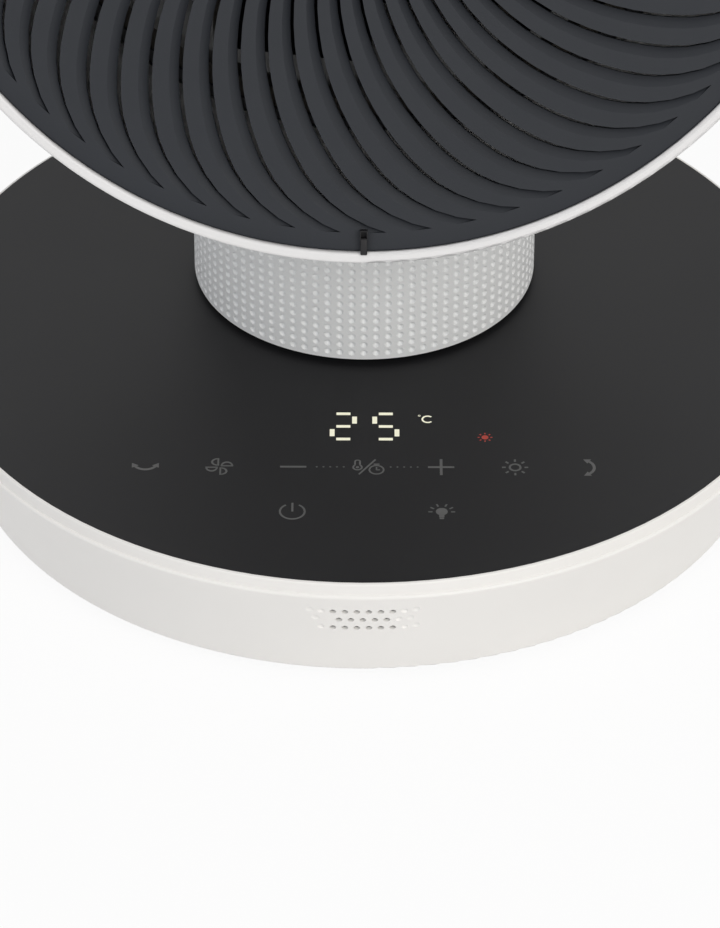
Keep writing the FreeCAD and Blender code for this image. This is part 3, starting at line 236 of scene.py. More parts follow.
def rounded(corners, steps=5):
    """Outline through (radius, height) corners. A third number in a corner is the radius that rounds it."""
    places = [Vector(corner[:2]) for corner in corners]
    points = []
    for i, corner in enumerate(corners):
        here = places[i]
        if len(corner) < 3:
            points.append(here)
            continue
        before = (places[i - 1] - here).normalized()
        after = (places[(i + 1) % len(corners)] - here).normalized()
        half = before.angle(after) / 2
        centre = here + (before + after).normalized() * (corner[2] / math.sin(half))
        start = here + before * (corner[2] / math.tan(half)) - centre
        end = here + after * (corner[2] / math.tan(half)) - centre
        sweep = math.atan2(start.cross(end), start.dot(end))
        points += [centre + Matrix.Rotation(sweep * step / steps, 2) @ start for step in range(steps + 1)]
    return points


def turn_outline(bm, points, steps):
    """Spin an open outline of (radius, height) points about Z."""
    verts = [bm.verts.new((radius, 0, height)) for radius, height in points]
    edges = [bm.edges.new(pair) for pair in zip(verts, verts[1:])]
    bmesh.ops.spin(bm, geom=verts + edges, cent=(0, 0, 0), axis=(0, 0, 1), angle=FULL_TURN,
                   steps=steps, use_merge=True)


def copies_round(bm, count):
    """Repeat everything in a bmesh evenly about Z."""
    bmesh.ops.spin(bm, geom=bm.verts[:] + bm.edges[:] + bm.faces[:], cent=(0, 0, 0), axis=(0, 0, 1),
                   angle=FULL_TURN * (count - 1) / count, steps=count - 1, use_duplicate=True)


def verts_of(made):
    return [item for item in made if isinstance(item, bmesh.types.BMVert)]


def drawn_out(bm, edges, move):
    """Extrude edges and give each new vertex the place that move says. Returns the new edges."""
    made = bmesh.ops.extrude_edge_only(bm, edges=edges)["geom"]
    verts = verts_of(made)
    for vertex in verts:
        vertex.co = move(vertex.co)
    fresh = set(verts)
    return [item for item in made if isinstance(item, bmesh.types.BMEdge) and fresh.issuperset(item.verts)]


def grid(bm, columns, rows):
    """Vertices of a new grid, each with its column and row."""
    made = bmesh.ops.create_grid(bm, x_segments=columns, y_segments=rows, size=1.0)["verts"]
    return [(vertex, round((vertex.co.x + 1) / 2 * columns), round((vertex.co.y + 1) / 2 * rows))
            for vertex in made]


def boxed(bm, low, high, edge_round):
    """Box between two corners with rounded edges."""
    middle = (low + high) / 2
    size = Matrix.Diagonal((*(high - low), 1.0))
    made = bmesh.ops.create_cube(bm, size=1.0, matrix=Matrix.Translation(middle) @ size)
    edges = list(dict.fromkeys(edge for vertex in made["verts"] for edge in vertex.link_edges))
    bmesh.ops.bevel(bm, geom=edges, offset=edge_round, affect="EDGES", segments=3, profile=0.5, material=-1)


def append(bm, other):
    """Add another bmesh and free it."""
    mesh = bpy.data.meshes.new("mark")
    other.to_mesh(mesh)
    other.free()
    bm.from_mesh(mesh)
    bpy.data.meshes.remove(mesh)


def loose_parts(node):
    """Lowest and highest corners of each separate solid in a CAD node."""
    bm = bmesh.new()
    bm.from_mesh(frame["nodes"][node].data)
    bmesh.ops.remove_doubles(bm, verts=bm.verts, dist=MERGE_DISTANCE)
    waiting = set(bm.verts)
    boxes = []
    while waiting:
        reached = [waiting.pop()]
        for vertex in reached:
            fresh = {edge.other_vert(vertex) for edge in vertex.link_edges} & waiting
            waiting -= fresh
            reached += fresh
        boxes.append(box_of([vertex.co for vertex in reached]))
    bm.free()
    return sorted(boxes, key=lambda box: tuple(box[0]))


def as_piece(name, bm, body, paint, replaces=(), place=None):
    """Make a bmesh a piece that rides on a body and stands for the CAD nodes it replaces."""
    bmesh.ops.remove_doubles(bm, verts=bm.verts, dist=MERGE_DISTANCE)
    bmesh.ops.recalc_face_normals(bm, faces=bm.faces)
    if place:
        bm.transform(place)
    mesh = bpy.data.meshes.new(name)
    bm.to_mesh(mesh)
    bm.free()
    mesh.shade_smooth()
    mesh.set_sharp_from_angle(angle=SHARP_ANGLE)
    mesh.materials.append(paint)
    piece = bpy.data.objects.new(name, mesh)
    bpy.context.scene.collection.objects.link(piece)
    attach(piece, body)
    if replaces:
        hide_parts(*replaces)


# Finishes

TONE_SIZE = 40 * MM         # patches of slightly different tone on plastic
GLOSS_SIZE = 9 * MM         # patches of slightly different gloss on plastic
GLOSS_SWING = 0.12
WAVE_RATE = 20              # phase of a Wave texture along one unit, at a scale of 1
COLOUR_A, COLOUR_B, COLOUR_RESULT = 6, 7, 2     # sockets of a Mix node that blends colours


class Socket:
    """An output of a node. Arithmetic on it adds Math nodes."""

    def __init__(self, paint, output):
        self.paint = paint
        self.output = output

    def maths(self, operation, first, second):
        return self.paint.node("ShaderNodeMath", {"operation": operation}, {0: first, 1: second})

    def __add__(self, other):
        return self.maths("ADD", self, other)

    def __sub__(self, other):
        return self.maths("SUBTRACT", self, other)

    def __mul__(self, other):
        return self.maths("MULTIPLY", self, other)

    def __gt__(self, other):
        return self.maths("GREATER_THAN", self, other)

    __radd__ = __add__


class NodeSheet:
    """The nodes of a material or world, written as expressions."""

    def __init__(self, owner):
        owner.use_nodes = True
        self.tree = owner.node_tree

    def node(self, kind, settings=None, sockets=None, output=0):
        made = self.tree.nodes.new(kind)
        for key, value in (settings or {}).items():
            setattr(made, key, value)
        self.fill(made, sockets or {})
        return Socket(self, made.outputs[output])

    def fill(self, node, sockets):
        """Set or link the inputs of a node."""
        for key, value in sockets.items():
            if isinstance(value, Socket):
                self.tree.links.new(value.output, node.inputs[key])
            else:
                node.inputs[key].default_value = value


class Paint(NodeSheet):
    """A material with a Principled shader and patterns in the piece's own place."""

    def __init__(self, name):
        self.material = bpy.data.materials.new(name)
        super().__init__(self.material)
        self.shader = self.tree.nodes["Principled BSDF"]
        self.place = self.node("ShaderNodeTexCoord", output="Object")

    def finish(self, sockets):
        self.fill(self.shader, sockets)
        return self.material

    def noise(self, size, detail=2.0, stretch=None):
        """Soft noise from 0 to 1 with features of a size."""
        place = self.place
        if stretch:
            place = self.node("ShaderNodeMapping", {}, {"Vector": place, "Scale": stretch})
        return self.node("ShaderNodeTexNoise", {}, {"Vector": place, "Scale": 1 / size, "Detail": detail})

    def wave(self, direction, pitch):
        """Bands of a pitch along X or Z, from 0 to 1."""
        return self.node("ShaderNodeTexWave", {"bands_direction": direction},
                         {"Vector": self.place, "Scale": FULL_TURN / (WAVE_RATE * pitch)}, output="Fac")

    def mix(self, factor, first, second):
        """Blend of two colours."""
        return self.node("ShaderNodeMix", {"data_type": "RGBA"},
                         {"Factor": factor, COLOUR_A: (*first, 1.0), COLOUR_B: (*second, 1.0)},
                         output=COLOUR_RESULT)

    def bump(self, height, depth):
        return self.node("ShaderNodeBump", {}, {"Height": height, "Distance": depth}, output="Normal")


def swing(pattern, amount):
    """A pattern from 0 to 1 as a change about zero."""
    return (pattern - 0.5) * amount


def shaded(tint, factor):
    """A colour made lighter or darker."""
    return tuple(min(1.0, c * factor) for c in tint)


def moulded(name, tint, roughness, spread=0.04, specular=0.5, grain=0.45 * MM, grain_depth=0.012 * MM):
    """Moulded plastic: spark-eroded grain, with slow changes of tone and gloss."""
    paint = Paint(name)
    tone = paint.noise(TONE_SIZE)
    gloss = paint.noise(GLOSS_SIZE, detail=3.0)
    relief = paint.noise(grain, detail=3.0)
    return paint.finish({
        "Base Color": paint.mix(tone, shaded(tint, 1 - spread), shaded(tint, 1 + spread / 2)),
        "Roughness": roughness + swing(gloss, GLOSS_SWING),
        "Normal": paint.bump(relief, grain_depth),
        "Specular IOR Level": specular,
    })


def touch_glass(name, tint, roughness, cloud_size=60 * MM, grain_size=0.25 * MM, grain_depth=0.002 * MM):
    """Satin black sheet: a fine etched grain and faint handling marks in its gloss."""
    paint = Paint(name)
    cloud = paint.noise(cloud_size, detail=4.0)
    grain = paint.noise(grain_size)
    return paint.finish({
        "Base Color": paint.mix(cloud, shaded(tint, 0.9), shaded(tint, 1.1)),
        "Roughness": roughness + swing(cloud, 0.1) + swing(grain, 0.06),
        "Normal": paint.bump(grain, grain_depth),
        "Specular IOR Level": 0.26,
    })


def lit(name, tint, strength, cloud_size=1.6 * MM):
    """Lamp behind a mask, a little uneven across its face."""
    paint = Paint(name)
    cloud = paint.noise(cloud_size)
    return paint.finish({
        "Base Color": paint.mix(cloud, shaded(tint, 0.05), shaded(tint, 0.08)),
        "Emission Color": paint.mix(cloud, shaded(tint, 0.88), tint),
        "Emission Strength": strength,
        "Roughness": 0.4,
    })


def metal(name, tint, roughness, streak=0.3 * MM, streak_depth=0.004 * MM, tone_size=12 * MM):
    """Drawn or rolled metal with fine streaks along X."""
    paint = Paint(name)
    lines = paint.noise(streak, detail=3.0, stretch=(0.05, 1.0, 1.0))
    tone = paint.noise(tone_size)
    return paint.finish({
        "Base Color": paint.mix(tone, shaded(tint, 0.85), tint),
        "Metallic": 1.0,
        "Roughness": roughness + swing(lines, 0.2),
        "Normal": paint.bump(lines, streak_depth),
    })


def finned(name, tint, pitch=1.6 * MM, depth=0.6 * MM):
    """Stacked aluminium fins across a heating bar. The dark bands between the fins are painted shade in
    their gaps.
    """
    paint = Paint(name)
    wave = paint.wave("X", pitch)
    return paint.finish({
        # painted shade: the gaps between the fins are drawn dark
        "Base Color": paint.mix(wave, shaded(tint, 0.2), tint),
        "Metallic": 0.7,
        "Roughness": 0.6,
        "Normal": paint.bump(wave, depth),
    })


def wound(name, tint, wire=0.4 * MM, depth=0.15 * MM):
    """Enamelled copper wire laid side by side. The dark bands between the turns are painted shade in the
    creases.
    """
    paint = Paint(name)
    wave = paint.wave("Z", wire)
    return paint.finish({
        # painted shade: the creases between the turns are drawn dark
        "Base Color": paint.mix(wave, shaded(tint, 0.4), tint),
        "Metallic": 0.8,
        "Roughness": 0.35,
        "Normal": paint.bump(wave, depth),
    })


def circuit(name, tint, cell=30 * MM, track=0.012, track_rise=0.03 * MM):
    """Solder mask over copper tracks that show as a paler grid. The track is a share of a cell."""
    paint = Paint(name)
    tracks = paint.node("ShaderNodeTexBrick", {},
                        {"Vector": paint.place, "Scale": 1 / cell, "Mortar Size": track}, output="Fac")
    return paint.finish({
        "Base Color": paint.mix(tracks, tint, shaded(tint, 1.9)),
        "Roughness": 0.38 + tracks * 0.15,
        "Normal": paint.bump(tracks, track_rise),
    })


def make_finishes(colours):
    """Materials by name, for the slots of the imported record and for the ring, print and lights."""
    # Recipe, name and colour, and then what the recipe asks for after them
    rows = (
        (moulded, "white_shell", colours.shell, 0.44),
        # painted shade: the shell's white plastic made greyer for the ring
        (moulded, "pale_ring", colours.ring, 0.44),
        (moulded, "white_neck", colours.neck, 0.46),
        (touch_glass, "black_panel", colours.panel, 0.5),
        (moulded, "dark_grille", colours.grille, 0.58, 0.1, 0.35, 0.6 * MM, 0.03 * MM),
        (moulded, "black_trim", colours.trim, 0.5, 0.1, 0.3),
        (moulded, "dark_plastic", linear(52, 53, 56), 0.5, 0.08),
        (moulded, "heat_plastic", linear(92, 86, 78), 0.6, 0.1),
        (circuit, "circuit_board", linear(24, 84, 52)),
        (moulded, "display", linear(60, 60, 62), 0.4),
        (moulded, "component_black", linear(30, 30, 32), 0.45, 0.1),
        (moulded, "component_yellow", linear(206, 178, 64), 0.5),
        (moulded, "rubber_black", linear(34, 34, 35), 0.8, 0.1, 0.5, 0.9 * MM, 0.05 * MM),
        (metal, "steel", linear(176, 178, 182), 0.34),
        (metal, "zinc_screw", linear(190, 192, 198), 0.3),
        (finned, "aluminium_fins", linear(104, 106, 110)),
        (metal, "motor_metal", linear(150, 152, 156), 0.4),
        (wound, "copper_winding", linear(190, 104, 58)),
        (moulded, "acetal", linear(228, 226, 216), 0.35),
        (moulded, "key_print", colours.symbols, 0.45, 0.08, 0.3),
        (lit, "digit_light", colours.digits, 0.85),
        (lit, "signal_light", colours.signal, 0.55),
    )
    return {name: make(name, tuple(tint), *values) for make, name, tint, *values in rows}


FINISHES = {}


# Flat marks on the panel, drawn in millimetres about the middle of a symbol

ARC_STEP = 8                # degrees of an arc to each straight piece
ARC_PIECES = 6              # fewest straight pieces in an arc


def bar(bm, x, y, width, height, turn=0.0):
    place = Matrix.Translation((x, y, 0)) @ Matrix.Rotation(math.radians(turn), 4, "Z")
    size = Matrix.Diagonal((width, height, 1.0, 1.0))
    bmesh.ops.create_grid(bm, x_segments=1, y_segments=1, size=0.5, matrix=place @ size)


def disc(bm, x, y, radius, segments=24):
    bmesh.ops.create_circle(bm, cap_ends=True, segments=segments, radius=radius,
                            matrix=Matrix.Translation((x, y, 0)))


def band(bm, x, y, radius, stroke, start=0.0, sweep=360.0, squeeze=1.0):
    """Ring or arc of a stroke's width, narrowed along X by squeeze."""
    first = math.radians(start)
    verts = [bm.verts.new((r * math.cos(first), r * math.sin(first), 0))
             for r in (radius - stroke / 2, radius + stroke / 2)]
    edge = bm.edges.new(verts)
    known = set(bm.verts) - set(verts)
    bmesh.ops.spin(bm, geom=verts + [edge], cent=(0, 0, 0), axis=(0, 0, 1), angle=math.radians(sweep),
                   steps=max(ARC_PIECES, int(sweep / ARC_STEP)), use_merge=sweep == 360.0)
    fresh = [vertex for vertex in bm.verts if vertex not in known]
    bmesh.ops.scale(bm, vec=(squeeze, 1, 1), verts=fresh)
    bmesh.ops.translate(bm, vec=(x, y, 0), verts=fresh)


def arrow(bm, x, y, size, turn):
    """Triangle that points along turn."""
    place = Matrix.Translation((x, y, 0)) @ Matrix.Rotation(math.radians(turn - 90), 4, "Z")
    bmesh.ops.create_circle(bm, cap_ends=True, segments=3, radius=size, matrix=place)


def draw_swing(bm):
    """Arc with an arrow head at each end, for the swing from side to side."""
    band(bm, 0, 2.1, 3.6, 0.85, start=215, sweep=110)
    for side in (-1, 1):
        arrow(bm, side * 3.25, 0.45, 1.3, 90 - side * 30)


def draw_nod(bm):
    """The same arc upright, for the swing up and down."""
    draw_swing(bm)
    bm.transform(Matrix.Rotation(math.radians(90), 4, "Z"))


def draw_fan(bm):
    """Four outlined blades set like a pinwheel."""
    for quarter in range(4):
        blade = bmesh.new()
        band(blade, 0, 0, 1.55, 0.52, start=90, sweep=180, squeeze=1.15)
        bar(blade, 0.0, 0.0, 0.52, 3.62)
        turn = Matrix.Rotation(math.radians(90 * quarter), 4, "Z")
        blade.transform(turn @ Matrix.Translation((-0.34, 2.2, 0)))
        append(bm, blade)


def draw_minus(bm):
    bar(bm, 0, 0, 7.6, 0.8)


def draw_plus(bm):
    draw_minus(bm)
    for side in (-1, 1):
        bar(bm, 0, side * 2.1, 0.8, 3.4)


def draw_heat_or_time(bm):
    """Thermometer, slash and stopwatch."""
    glass, watch = -2.8, 2.7
    band(bm, glass, -0.15, 1.25, 0.5, start=125, sweep=290)
    band(bm, glass, 2.55, 0.72, 0.5, sweep=180)
    for side in (-1, 1):
        bar(bm, glass + side * 0.72, 1.72, 0.5, 1.66)
    disc(bm, glass, -0.15, 0.5, segments=12)
    bar(bm, 0.0, 0.0, 8.6, 0.55, turn=56)
    band(bm, watch, -1.35, 2.05, 0.5)
    bar(bm, watch, 1.35, 1.7, 0.5)
    bar(bm, watch, -0.75, 0.45, 1.5)
    bar(bm, watch + 0.47, -1.4, 1.0, 0.45)


def draw_sun(bm):
    """Ring with eight rays."""
    band(bm, 0, 0, 1.55, 0.62)
    draw_rays(bm, 3.25, 1.1, range(0, 360, 45), stroke=0.6)


def draw_rays(bm, radius, size, turns, stroke=0.5):
    for turn in turns:
        around = math.radians(turn)
        bar(bm, radius * math.cos(around), radius * math.sin(around), size, stroke, turn=turn)


def draw_power(bm):
    """Open ring with a bar at its top."""
    band(bm, 0, 0, 3.55, 0.58, start=122, sweep=296)
    bar(bm, 0, 2.0, 0.6, 4.1)


def draw_bulb(bm):
    """Filled bulb on its cap, with six rays."""
    disc(bm, 0, 0.1, 1.7)
    bar(bm, 0, -1.95, 1.5, 1.2)
    bar(bm, 0, -3.05, 1.3, 0.7)
    draw_rays(bm, 3.25, 1.2, (0, 33, 68, 112, 147, 180))


def draw_dots(bm):
    """Row of dots from the middle symbol to the minus and the plus."""
    for side in (-1, 1):
        for step in range(5):
            disc(bm, side * (6.8 + 1.95 * step), 0, 0.3, segments=10)


def draw_digit(bm, lit_segments):
    """Seven-segment digit: the names of the lit bars are their places."""
    tops = {"top": 6.2, "middle": 0.0, "bottom": -6.2}
    for name in lit_segments:
        if name in tops:
            bar(bm, 0, tops[name], 4.1, 1.2)
        else:
            side = -1 if "left" in name else 1
            rise = 1 if "upper" in name else -1
            bar(bm, side * 3.25, rise * 3.1, 1.4, 3.4)


def draw_celsius(bm):
    """Small ring and an open letter for degrees."""
    band(bm, -1.7, 1.75, 0.3, 0.14)
    band(bm, 0.75, 0, 1.55, 0.52, start=48, sweep=264)


def draw_small_sun(bm):
    disc(bm, 0, 0, 1.0)
    draw_rays(bm, 1.85, 0.62, range(0, 360, 45), stroke=0.36)


def stamped(marks, lift):
    """Film of printed marks on the panel. Each mark is a drawing and its place on the panel in metres."""
    film = bmesh.new()
    for draw, x, y in marks:
        one = bmesh.new()
        draw(one)
        bmesh.ops.recalc_face_normals(one, faces=one.faces)
        one.transform(Matrix.Translation((x, y, PANEL_HIGH.z)) @ Matrix.Scale(MM, 4))
        append(film, one)
    made = bmesh.ops.extrude_face_region(film, geom=film.faces[:])["geom"]
    bmesh.ops.translate(film, vec=(0, 0, lift), verts=verts_of(made))
    return film


# Operators, one for each piece or group of like pieces

class CIRCULATOR_OT_finishes(bpy.types.Operator):
    """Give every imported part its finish"""
    bl_idname = "circulator.finishes"
    bl_label = "Finishes"

    def execute(self, context):
        FINISHES.update(make_finishes(context.scene.circulator_colours))
        for node in frame["nodes"].values():
            for slot in node.material_slots:
                slot.material = FINISHES[slot.material.name.split(".")[0]]
        # The ring gets a greyer copy of the shell's plastic, which is painted shade
        frame["nodes"]["front_ring"].material_slots[0].material = FINISHES["pale_ring"]
        return {"FINISHED"}


class CIRCULATOR_OT_neck(bpy.types.Operator):
    """Dimpled sleeve of the neck"""
    bl_idname = "circulator.neck"
    bl_label = "Neck Sleeve"

    bowl_sides = 8
    # Rings of a bowl from its edge in: width as a share of its radius, and sink as a share of its depth
    bowl_rings = ((0.3, 0.51), (0.35, 0.4))
    tip_sink = 0.09         # what is left of the depth
    land_reach = 1.14       # edge of the plain land round a bowl, as a share of its radius

    def dimple(self, neck, width):
        """One cell of the pattern, flat: a round bowl in an upright rectangle."""
        bm = bmesh.new()
        bmesh.ops.create_circle(bm, cap_ends=True, segments=self.bowl_sides, radius=neck.dimple_radius)
        bowl = bm.faces[:]
        for reach, sink in self.bowl_rings:
            bmesh.ops.inset_individual(bm, faces=bowl, thickness=reach * neck.dimple_radius,
                                       depth=-sink * neck.dimple_depth, use_even_offset=True)
        bmesh.ops.poke(bm, faces=bowl, offset=-self.tip_sink * neck.dimple_depth)
        rim = [edge for edge in bm.edges if edge.is_boundary]
        land = drawn_out(bm, rim, lambda place: place * self.land_reach)

        def to_cell(place):
            across = 0 if abs(place.x) < MERGE_DISTANCE else math.copysign(width / 2, place.x)
            upright = 0 if abs(place.y) < MERGE_DISTANCE else math.copysign(neck.row_pitch / 2, place.y)
            return Vector((across, upright, 0))

        drawn_out(bm, land, to_cell)
        return bm

    def execute(self, context):
        neck = context.scene.circulator_neck
        radius = NECK_HIGH.x
        bm = self.dimple(neck, FULL_TURN * radius / neck.columns)
        bmesh.ops.spin(bm, geom=bm.verts[:] + bm.edges[:] + bm.faces[:], cent=(0, 0, 0), axis=(0, 0, 1),
                       dvec=(0, neck.row_pitch, 0), angle=0, steps=neck.rows - 1, use_duplicate=True)
        for vertex in bm.verts:
            across, upright, out = vertex.co
            turn = across / radius
            height = NECK_LOW.z + neck.first_row + upright
            vertex.co = ((radius + out) * math.sin(turn), -(radius + out) * math.cos(turn), height)
        copies_round(bm, neck.columns)
        bmesh.ops.remove_doubles(bm, verts=bm.verts, dist=MERGE_DISTANCE)
        middle = (NECK_LOW.z + NECK_HIGH.z) / 2
        open_edges = [edge for edge in bm.edges if edge.is_boundary]
        inner = []
        for end in (NECK_LOW.z, NECK_HIGH.z):
            edges = [edge for edge in open_edges if (edge.verts[0].co.z < middle) == (end < middle)]
            edges = drawn_out(bm, edges, lambda place: Vector((place.x, place.y, end)))
            narrow = (radius - neck.wall) / radius
            inner += drawn_out(bm, edges, lambda place: Vector((place.x * narrow, place.y * narrow, end)))
        bmesh.ops.bridge_loops(bm, edges=inner)
        centre = Matrix.Translation((0, (NECK_LOW.y + NECK_HIGH.y) / 2, 0))
        as_piece("dimpled_neck", bm, "neck", FINISHES["white_neck"], ["neck_sleeve"], centre)
        return {"FINISHED"}


class CIRCULATOR_OT_grille(bpy.types.Operator):
    """Front grille of swirl bars, each with one crisp side and one sloping side"""
    bl_idname = "circulator.grille"
    bl_label = "Front Grille"

    stations = 18           # places along a bar
    crowding = 1.3          # above 1 the stations stand closer near the rim
    hub_overlap = 0.8 * MM  # of the bars under the hub's cap
    rim_wall, rim_round = 2.7 * MM, 0.5 * MM
    # Heights of the hub's cap above the bars, then its sloping border, its round and its depth below them
    cap_crown, cap_shoulder, cap_edge = 1.2 * MM, 0.9 * MM, 0.3 * MM
    cap_border, cap_round, cap_skirt = 5.0 * MM, 0.4 * MM, 0.3 * MM

    def swirl_turn(self, grille, radius, tip):
        """Angle of a slot's crisp edge at a radius: two arcs that meet at the knee."""
        lean = grille.tip_lean
        knee = lean + grille.knee_sweep
        first = Vector((tip - grille.tip_arc * math.cos(lean), -grille.tip_arc * math.sin(lean)))
        bend = first + grille.tip_arc * Vector((math.cos(knee), math.sin(knee)))
        second = bend - grille.hub_arc * Vector((math.cos(knee), math.sin(knee)))
        centre, arc = (first, grille.tip_arc) if radius > bend.length else (second, grille.hub_arc)
        reach = centre.length
        cosine = (radius ** 2 + reach ** 2 - arc ** 2) / (2 * radius * reach)
        return -math.atan2(centre.y, centre.x) - math.acos(max(-1.0, min(1.0, cosine)))

    def section(self, grille, radius, tip):
        """Turn and depth of the points round one bar at a radius: its top, sloping side and underside."""
        pitch = FULL_TURN / grille.slots
        inward = (tip - radius) / (tip - grille.hub_radius)
        gap = pitch * (grille.open_share + (grille.hub_open_share - grille.open_share) * inward)
        brink = pitch - gap
        full = min(1.0, (tip - radius) / grille.fade)
        toe = brink + gap * (grille.tip_slope_share + (grille.slope_share - grille.tip_slope_share) * full)
        sunk = grille.tip_depth + (grille.slope_depth - grille.tip_depth) * full
        low = grille.bar_depth
        return ((0, 0), (brink / 2, 0), (brink, 0), (toe, sunk),
                (toe, low), (brink / 2, low), (0, low), (0, 0))

    def bar(self, bm, grille, tip):
        """One swirl bar from the rim to under the hub's cap."""
        end = grille.hub_radius - self.hub_overlap
        corners = len(self.section(grille, tip, tip)) - 1
        for vertex, corner, station in grid(bm, corners, self.stations):
            radius = tip - (tip - end) * (station / self.stations) ** self.crowding
            turn, depth = self.section(grille, radius, tip)[corner]
            vertex.co = self.place(radius, turn + self.swirl_turn(grille, radius, tip), depth)

    def place(self, radius, turn, depth):
        return Vector((radius * math.cos(turn), radius * math.sin(turn), GRILLE_HIGH.z - depth))

    def rim(self, bm, grille, tip):
        """Part of the rim that one bar and the slot beside it meet, with the slot's end wall."""
        section = self.section(grille, tip, tip)
        turns = [point[0] for point in section[:4]] + [FULL_TURN / grille.slots]
        face, back = GRILLE_HIGH.z, GRILLE_HIGH.z - grille.bar_depth
        edge, wall = GRILLE_HIGH.x, GRILLE_HIGH.x - self.rim_wall
        outline = rounded([(tip, face), (edge, face, self.rim_round), (edge, GRILLE_LOW.z),
                           (wall, GRILLE_LOW.z), (wall, back), (tip, back)])
        for vertex, column, row in grid(bm, len(turns) - 1, len(outline) - 1):
            radius, height = outline[row]
            vertex.co = self.place(radius, turns[column], face - height)
        brink, toe, last = turns[2:]
        low = grille.bar_depth
        corners = ((brink, 0), (toe, 0), (last, 0), (last, low), (toe, low), section[3])
        verts = [bm.verts.new(self.place(tip, turn, depth)) for turn, depth in corners]
        bmesh.ops.contextual_create(bm, geom=verts)

    def execute(self, context):
        grille = context.scene.circulator_grille
        tip = GRILLE_HIGH.x - grille.tip_inset
        bm = bmesh.new()
        self.bar(bm, grille, tip)
        self.rim(bm, grille, tip)
        bm.transform(Matrix.Rotation(math.pi / grille.slots, 4, "Z"))
        copies_round(bm, grille.slots)
        hub, face = grille.hub_radius, GRILLE_HIGH.z
        back = face - grille.bar_depth - self.cap_skirt
        cap = rounded([(0, face + self.cap_crown), (hub - self.cap_border, face + self.cap_shoulder),
                       (hub, face + self.cap_edge, self.cap_round), (hub, back), (0, back)])
        turn_outline(bm, cap, 2 * grille.slots)
        as_piece("swirl_grille", bm, "head", FINISHES["dark_grille"], ["front_grille"], FACE)
        return {"FINISHED"}


class CIRCULATOR_OT_latch(bpy.types.Operator):
    """Hook that holds the grille at its lowest point"""
    bl_idname = "circulator.latch"
    bl_label = "Grille Latch"

    head_length, head_round = 2.5 * MM, 0.12 * MM
    # The pocket in the head: the wall round it, how much it narrows, and its depth
    mouth_wall, mouth_draft, mouth_depth = 0.12 * MM, 0.05 * MM, 2.3 * MM
    tongue_inset = 0.1 * MM     # from the head's sides
    tongue_lap = 0.4 * MM       # into what the tongue and its stem join
    tongue_drop = 0.2 * MM      # below the head's face
    tongue_round = 0.3 * MM
    stem_inset = 1.35 * MM      # from the grille's edge
    stem_round = 0.15 * MM

    def execute(self, context):
        bm = bmesh.new()
        shoulder = LATCH_HIGH.y - self.head_length
        boxed(bm, Vector((LATCH_LOW.x, shoulder, GRILLE_HIGH.z)), LATCH_HIGH, self.head_round)
        mouth = [max(bm.faces, key=lambda face: face.normal.z * face.calc_area())]
        bmesh.ops.inset_individual(bm, faces=mouth, thickness=self.mouth_wall)
        bmesh.ops.inset_individual(bm, faces=mouth, thickness=self.mouth_draft, depth=-self.mouth_depth)
        left, right = LATCH_LOW.x + self.tongue_inset, LATCH_HIGH.x - self.tongue_inset
        end = shoulder + self.tongue_lap
        boxed(bm, Vector((left, LATCH_LOW.y, RING_HIGH.z)),
              Vector((right, end, LATCH_HIGH.z - self.tongue_drop)), self.tongue_round)
        boxed(bm, Vector((left, self.stem_inset - GRILLE_HIGH.x, GRILLE_HIGH.z)),
              Vector((right, end, RING_HIGH.z + self.tongue_lap)), self.stem_round)
        as_piece("grille_hook", bm, "head", FINISHES["black_trim"], ["grille_latch"], FACE)
        return {"FINISHED"}


class CIRCULATOR_OT_screws(bpy.types.Operator):
    """Pan heads with a cross recess, on the back of the yoke and under the base"""
    bl_idname = "circulator.screws"
    bl_label = "Screw Heads"

    head_height = 0.34      # as a share of the head's width
    field = 0.5             # square that holds the recess, as a share of the head's width
    cells = 6               # along the field, of which the recess takes 2 across and 4 along
    sink = 0.6              # of the recess, as a share of the head's height
    taper = 0.8             # bottom of the recess, as a share of its mouth
    # Outline from the field to the foot: shares of the radius and of the height
    dome = ((0.72, 0.97), (0.9, 0.8), (1.0, 0.5), (1.0, 0.0))

    def head(self, radius, height):
        """One head that stands on Z = 0 and looks up."""
        bm = bmesh.new()
        half = self.field * radius
        bmesh.ops.create_grid(bm, x_segments=self.cells, y_segments=self.cells, size=half)
        bmesh.ops.translate(bm, vec=(0, 0, height), verts=bm.verts)
        cell = 2 * half / self.cells
        cross = []
        for face in bm.faces:
            across, along = sorted(abs(n) for n in face.calc_center_median()[:2])
            if across < cell and along < 2 * cell:
                cross.append(face)
        edges = [edge for edge in bm.edges if edge.is_boundary]
        for reach, rise in self.dome:
            up = height * rise
            edges = drawn_out(bm, edges, lambda at: Vector((*(at.xy.normalized() * radius * reach), up)))
        sunk = verts_of(bmesh.ops.extrude_face_region(bm, geom=cross)["geom"])
        bmesh.ops.translate(bm, vec=(0, 0, -self.sink * height), verts=sunk)
        bmesh.ops.scale(bm, vec=(self.taper, self.taper, 1.0), verts=sunk)
        return bm

    def execute(self, context):
        # Node, body, axis of the screws, which way their heads look, and the turn that does it
        rows = (("yoke_screws", "neck", 1, 1, Matrix.Rotation(-math.pi / 2, 4, "X")),
                ("base_screws", "base", 2, -1, Matrix.Rotation(math.pi, 4, "X")))
        for node, body, axis, way, turn in rows:
            bm = bmesh.new()
            for low, high in loose_parts(node):
                radius = (high.x - low.x) / 2
                height = self.head_height * 2 * radius
                place = (low + high) / 2
                place[axis] = (high[axis] if way > 0 else low[axis]) - way * height
                one = self.head(radius, height)
                one.transform(Matrix.Translation(place) @ turn)
                append(bm, one)
            name = node.replace("screws", "screw_heads")
            as_piece(name, bm, body, FINISHES["zinc_screw"], [node])
        return {"FINISHED"}


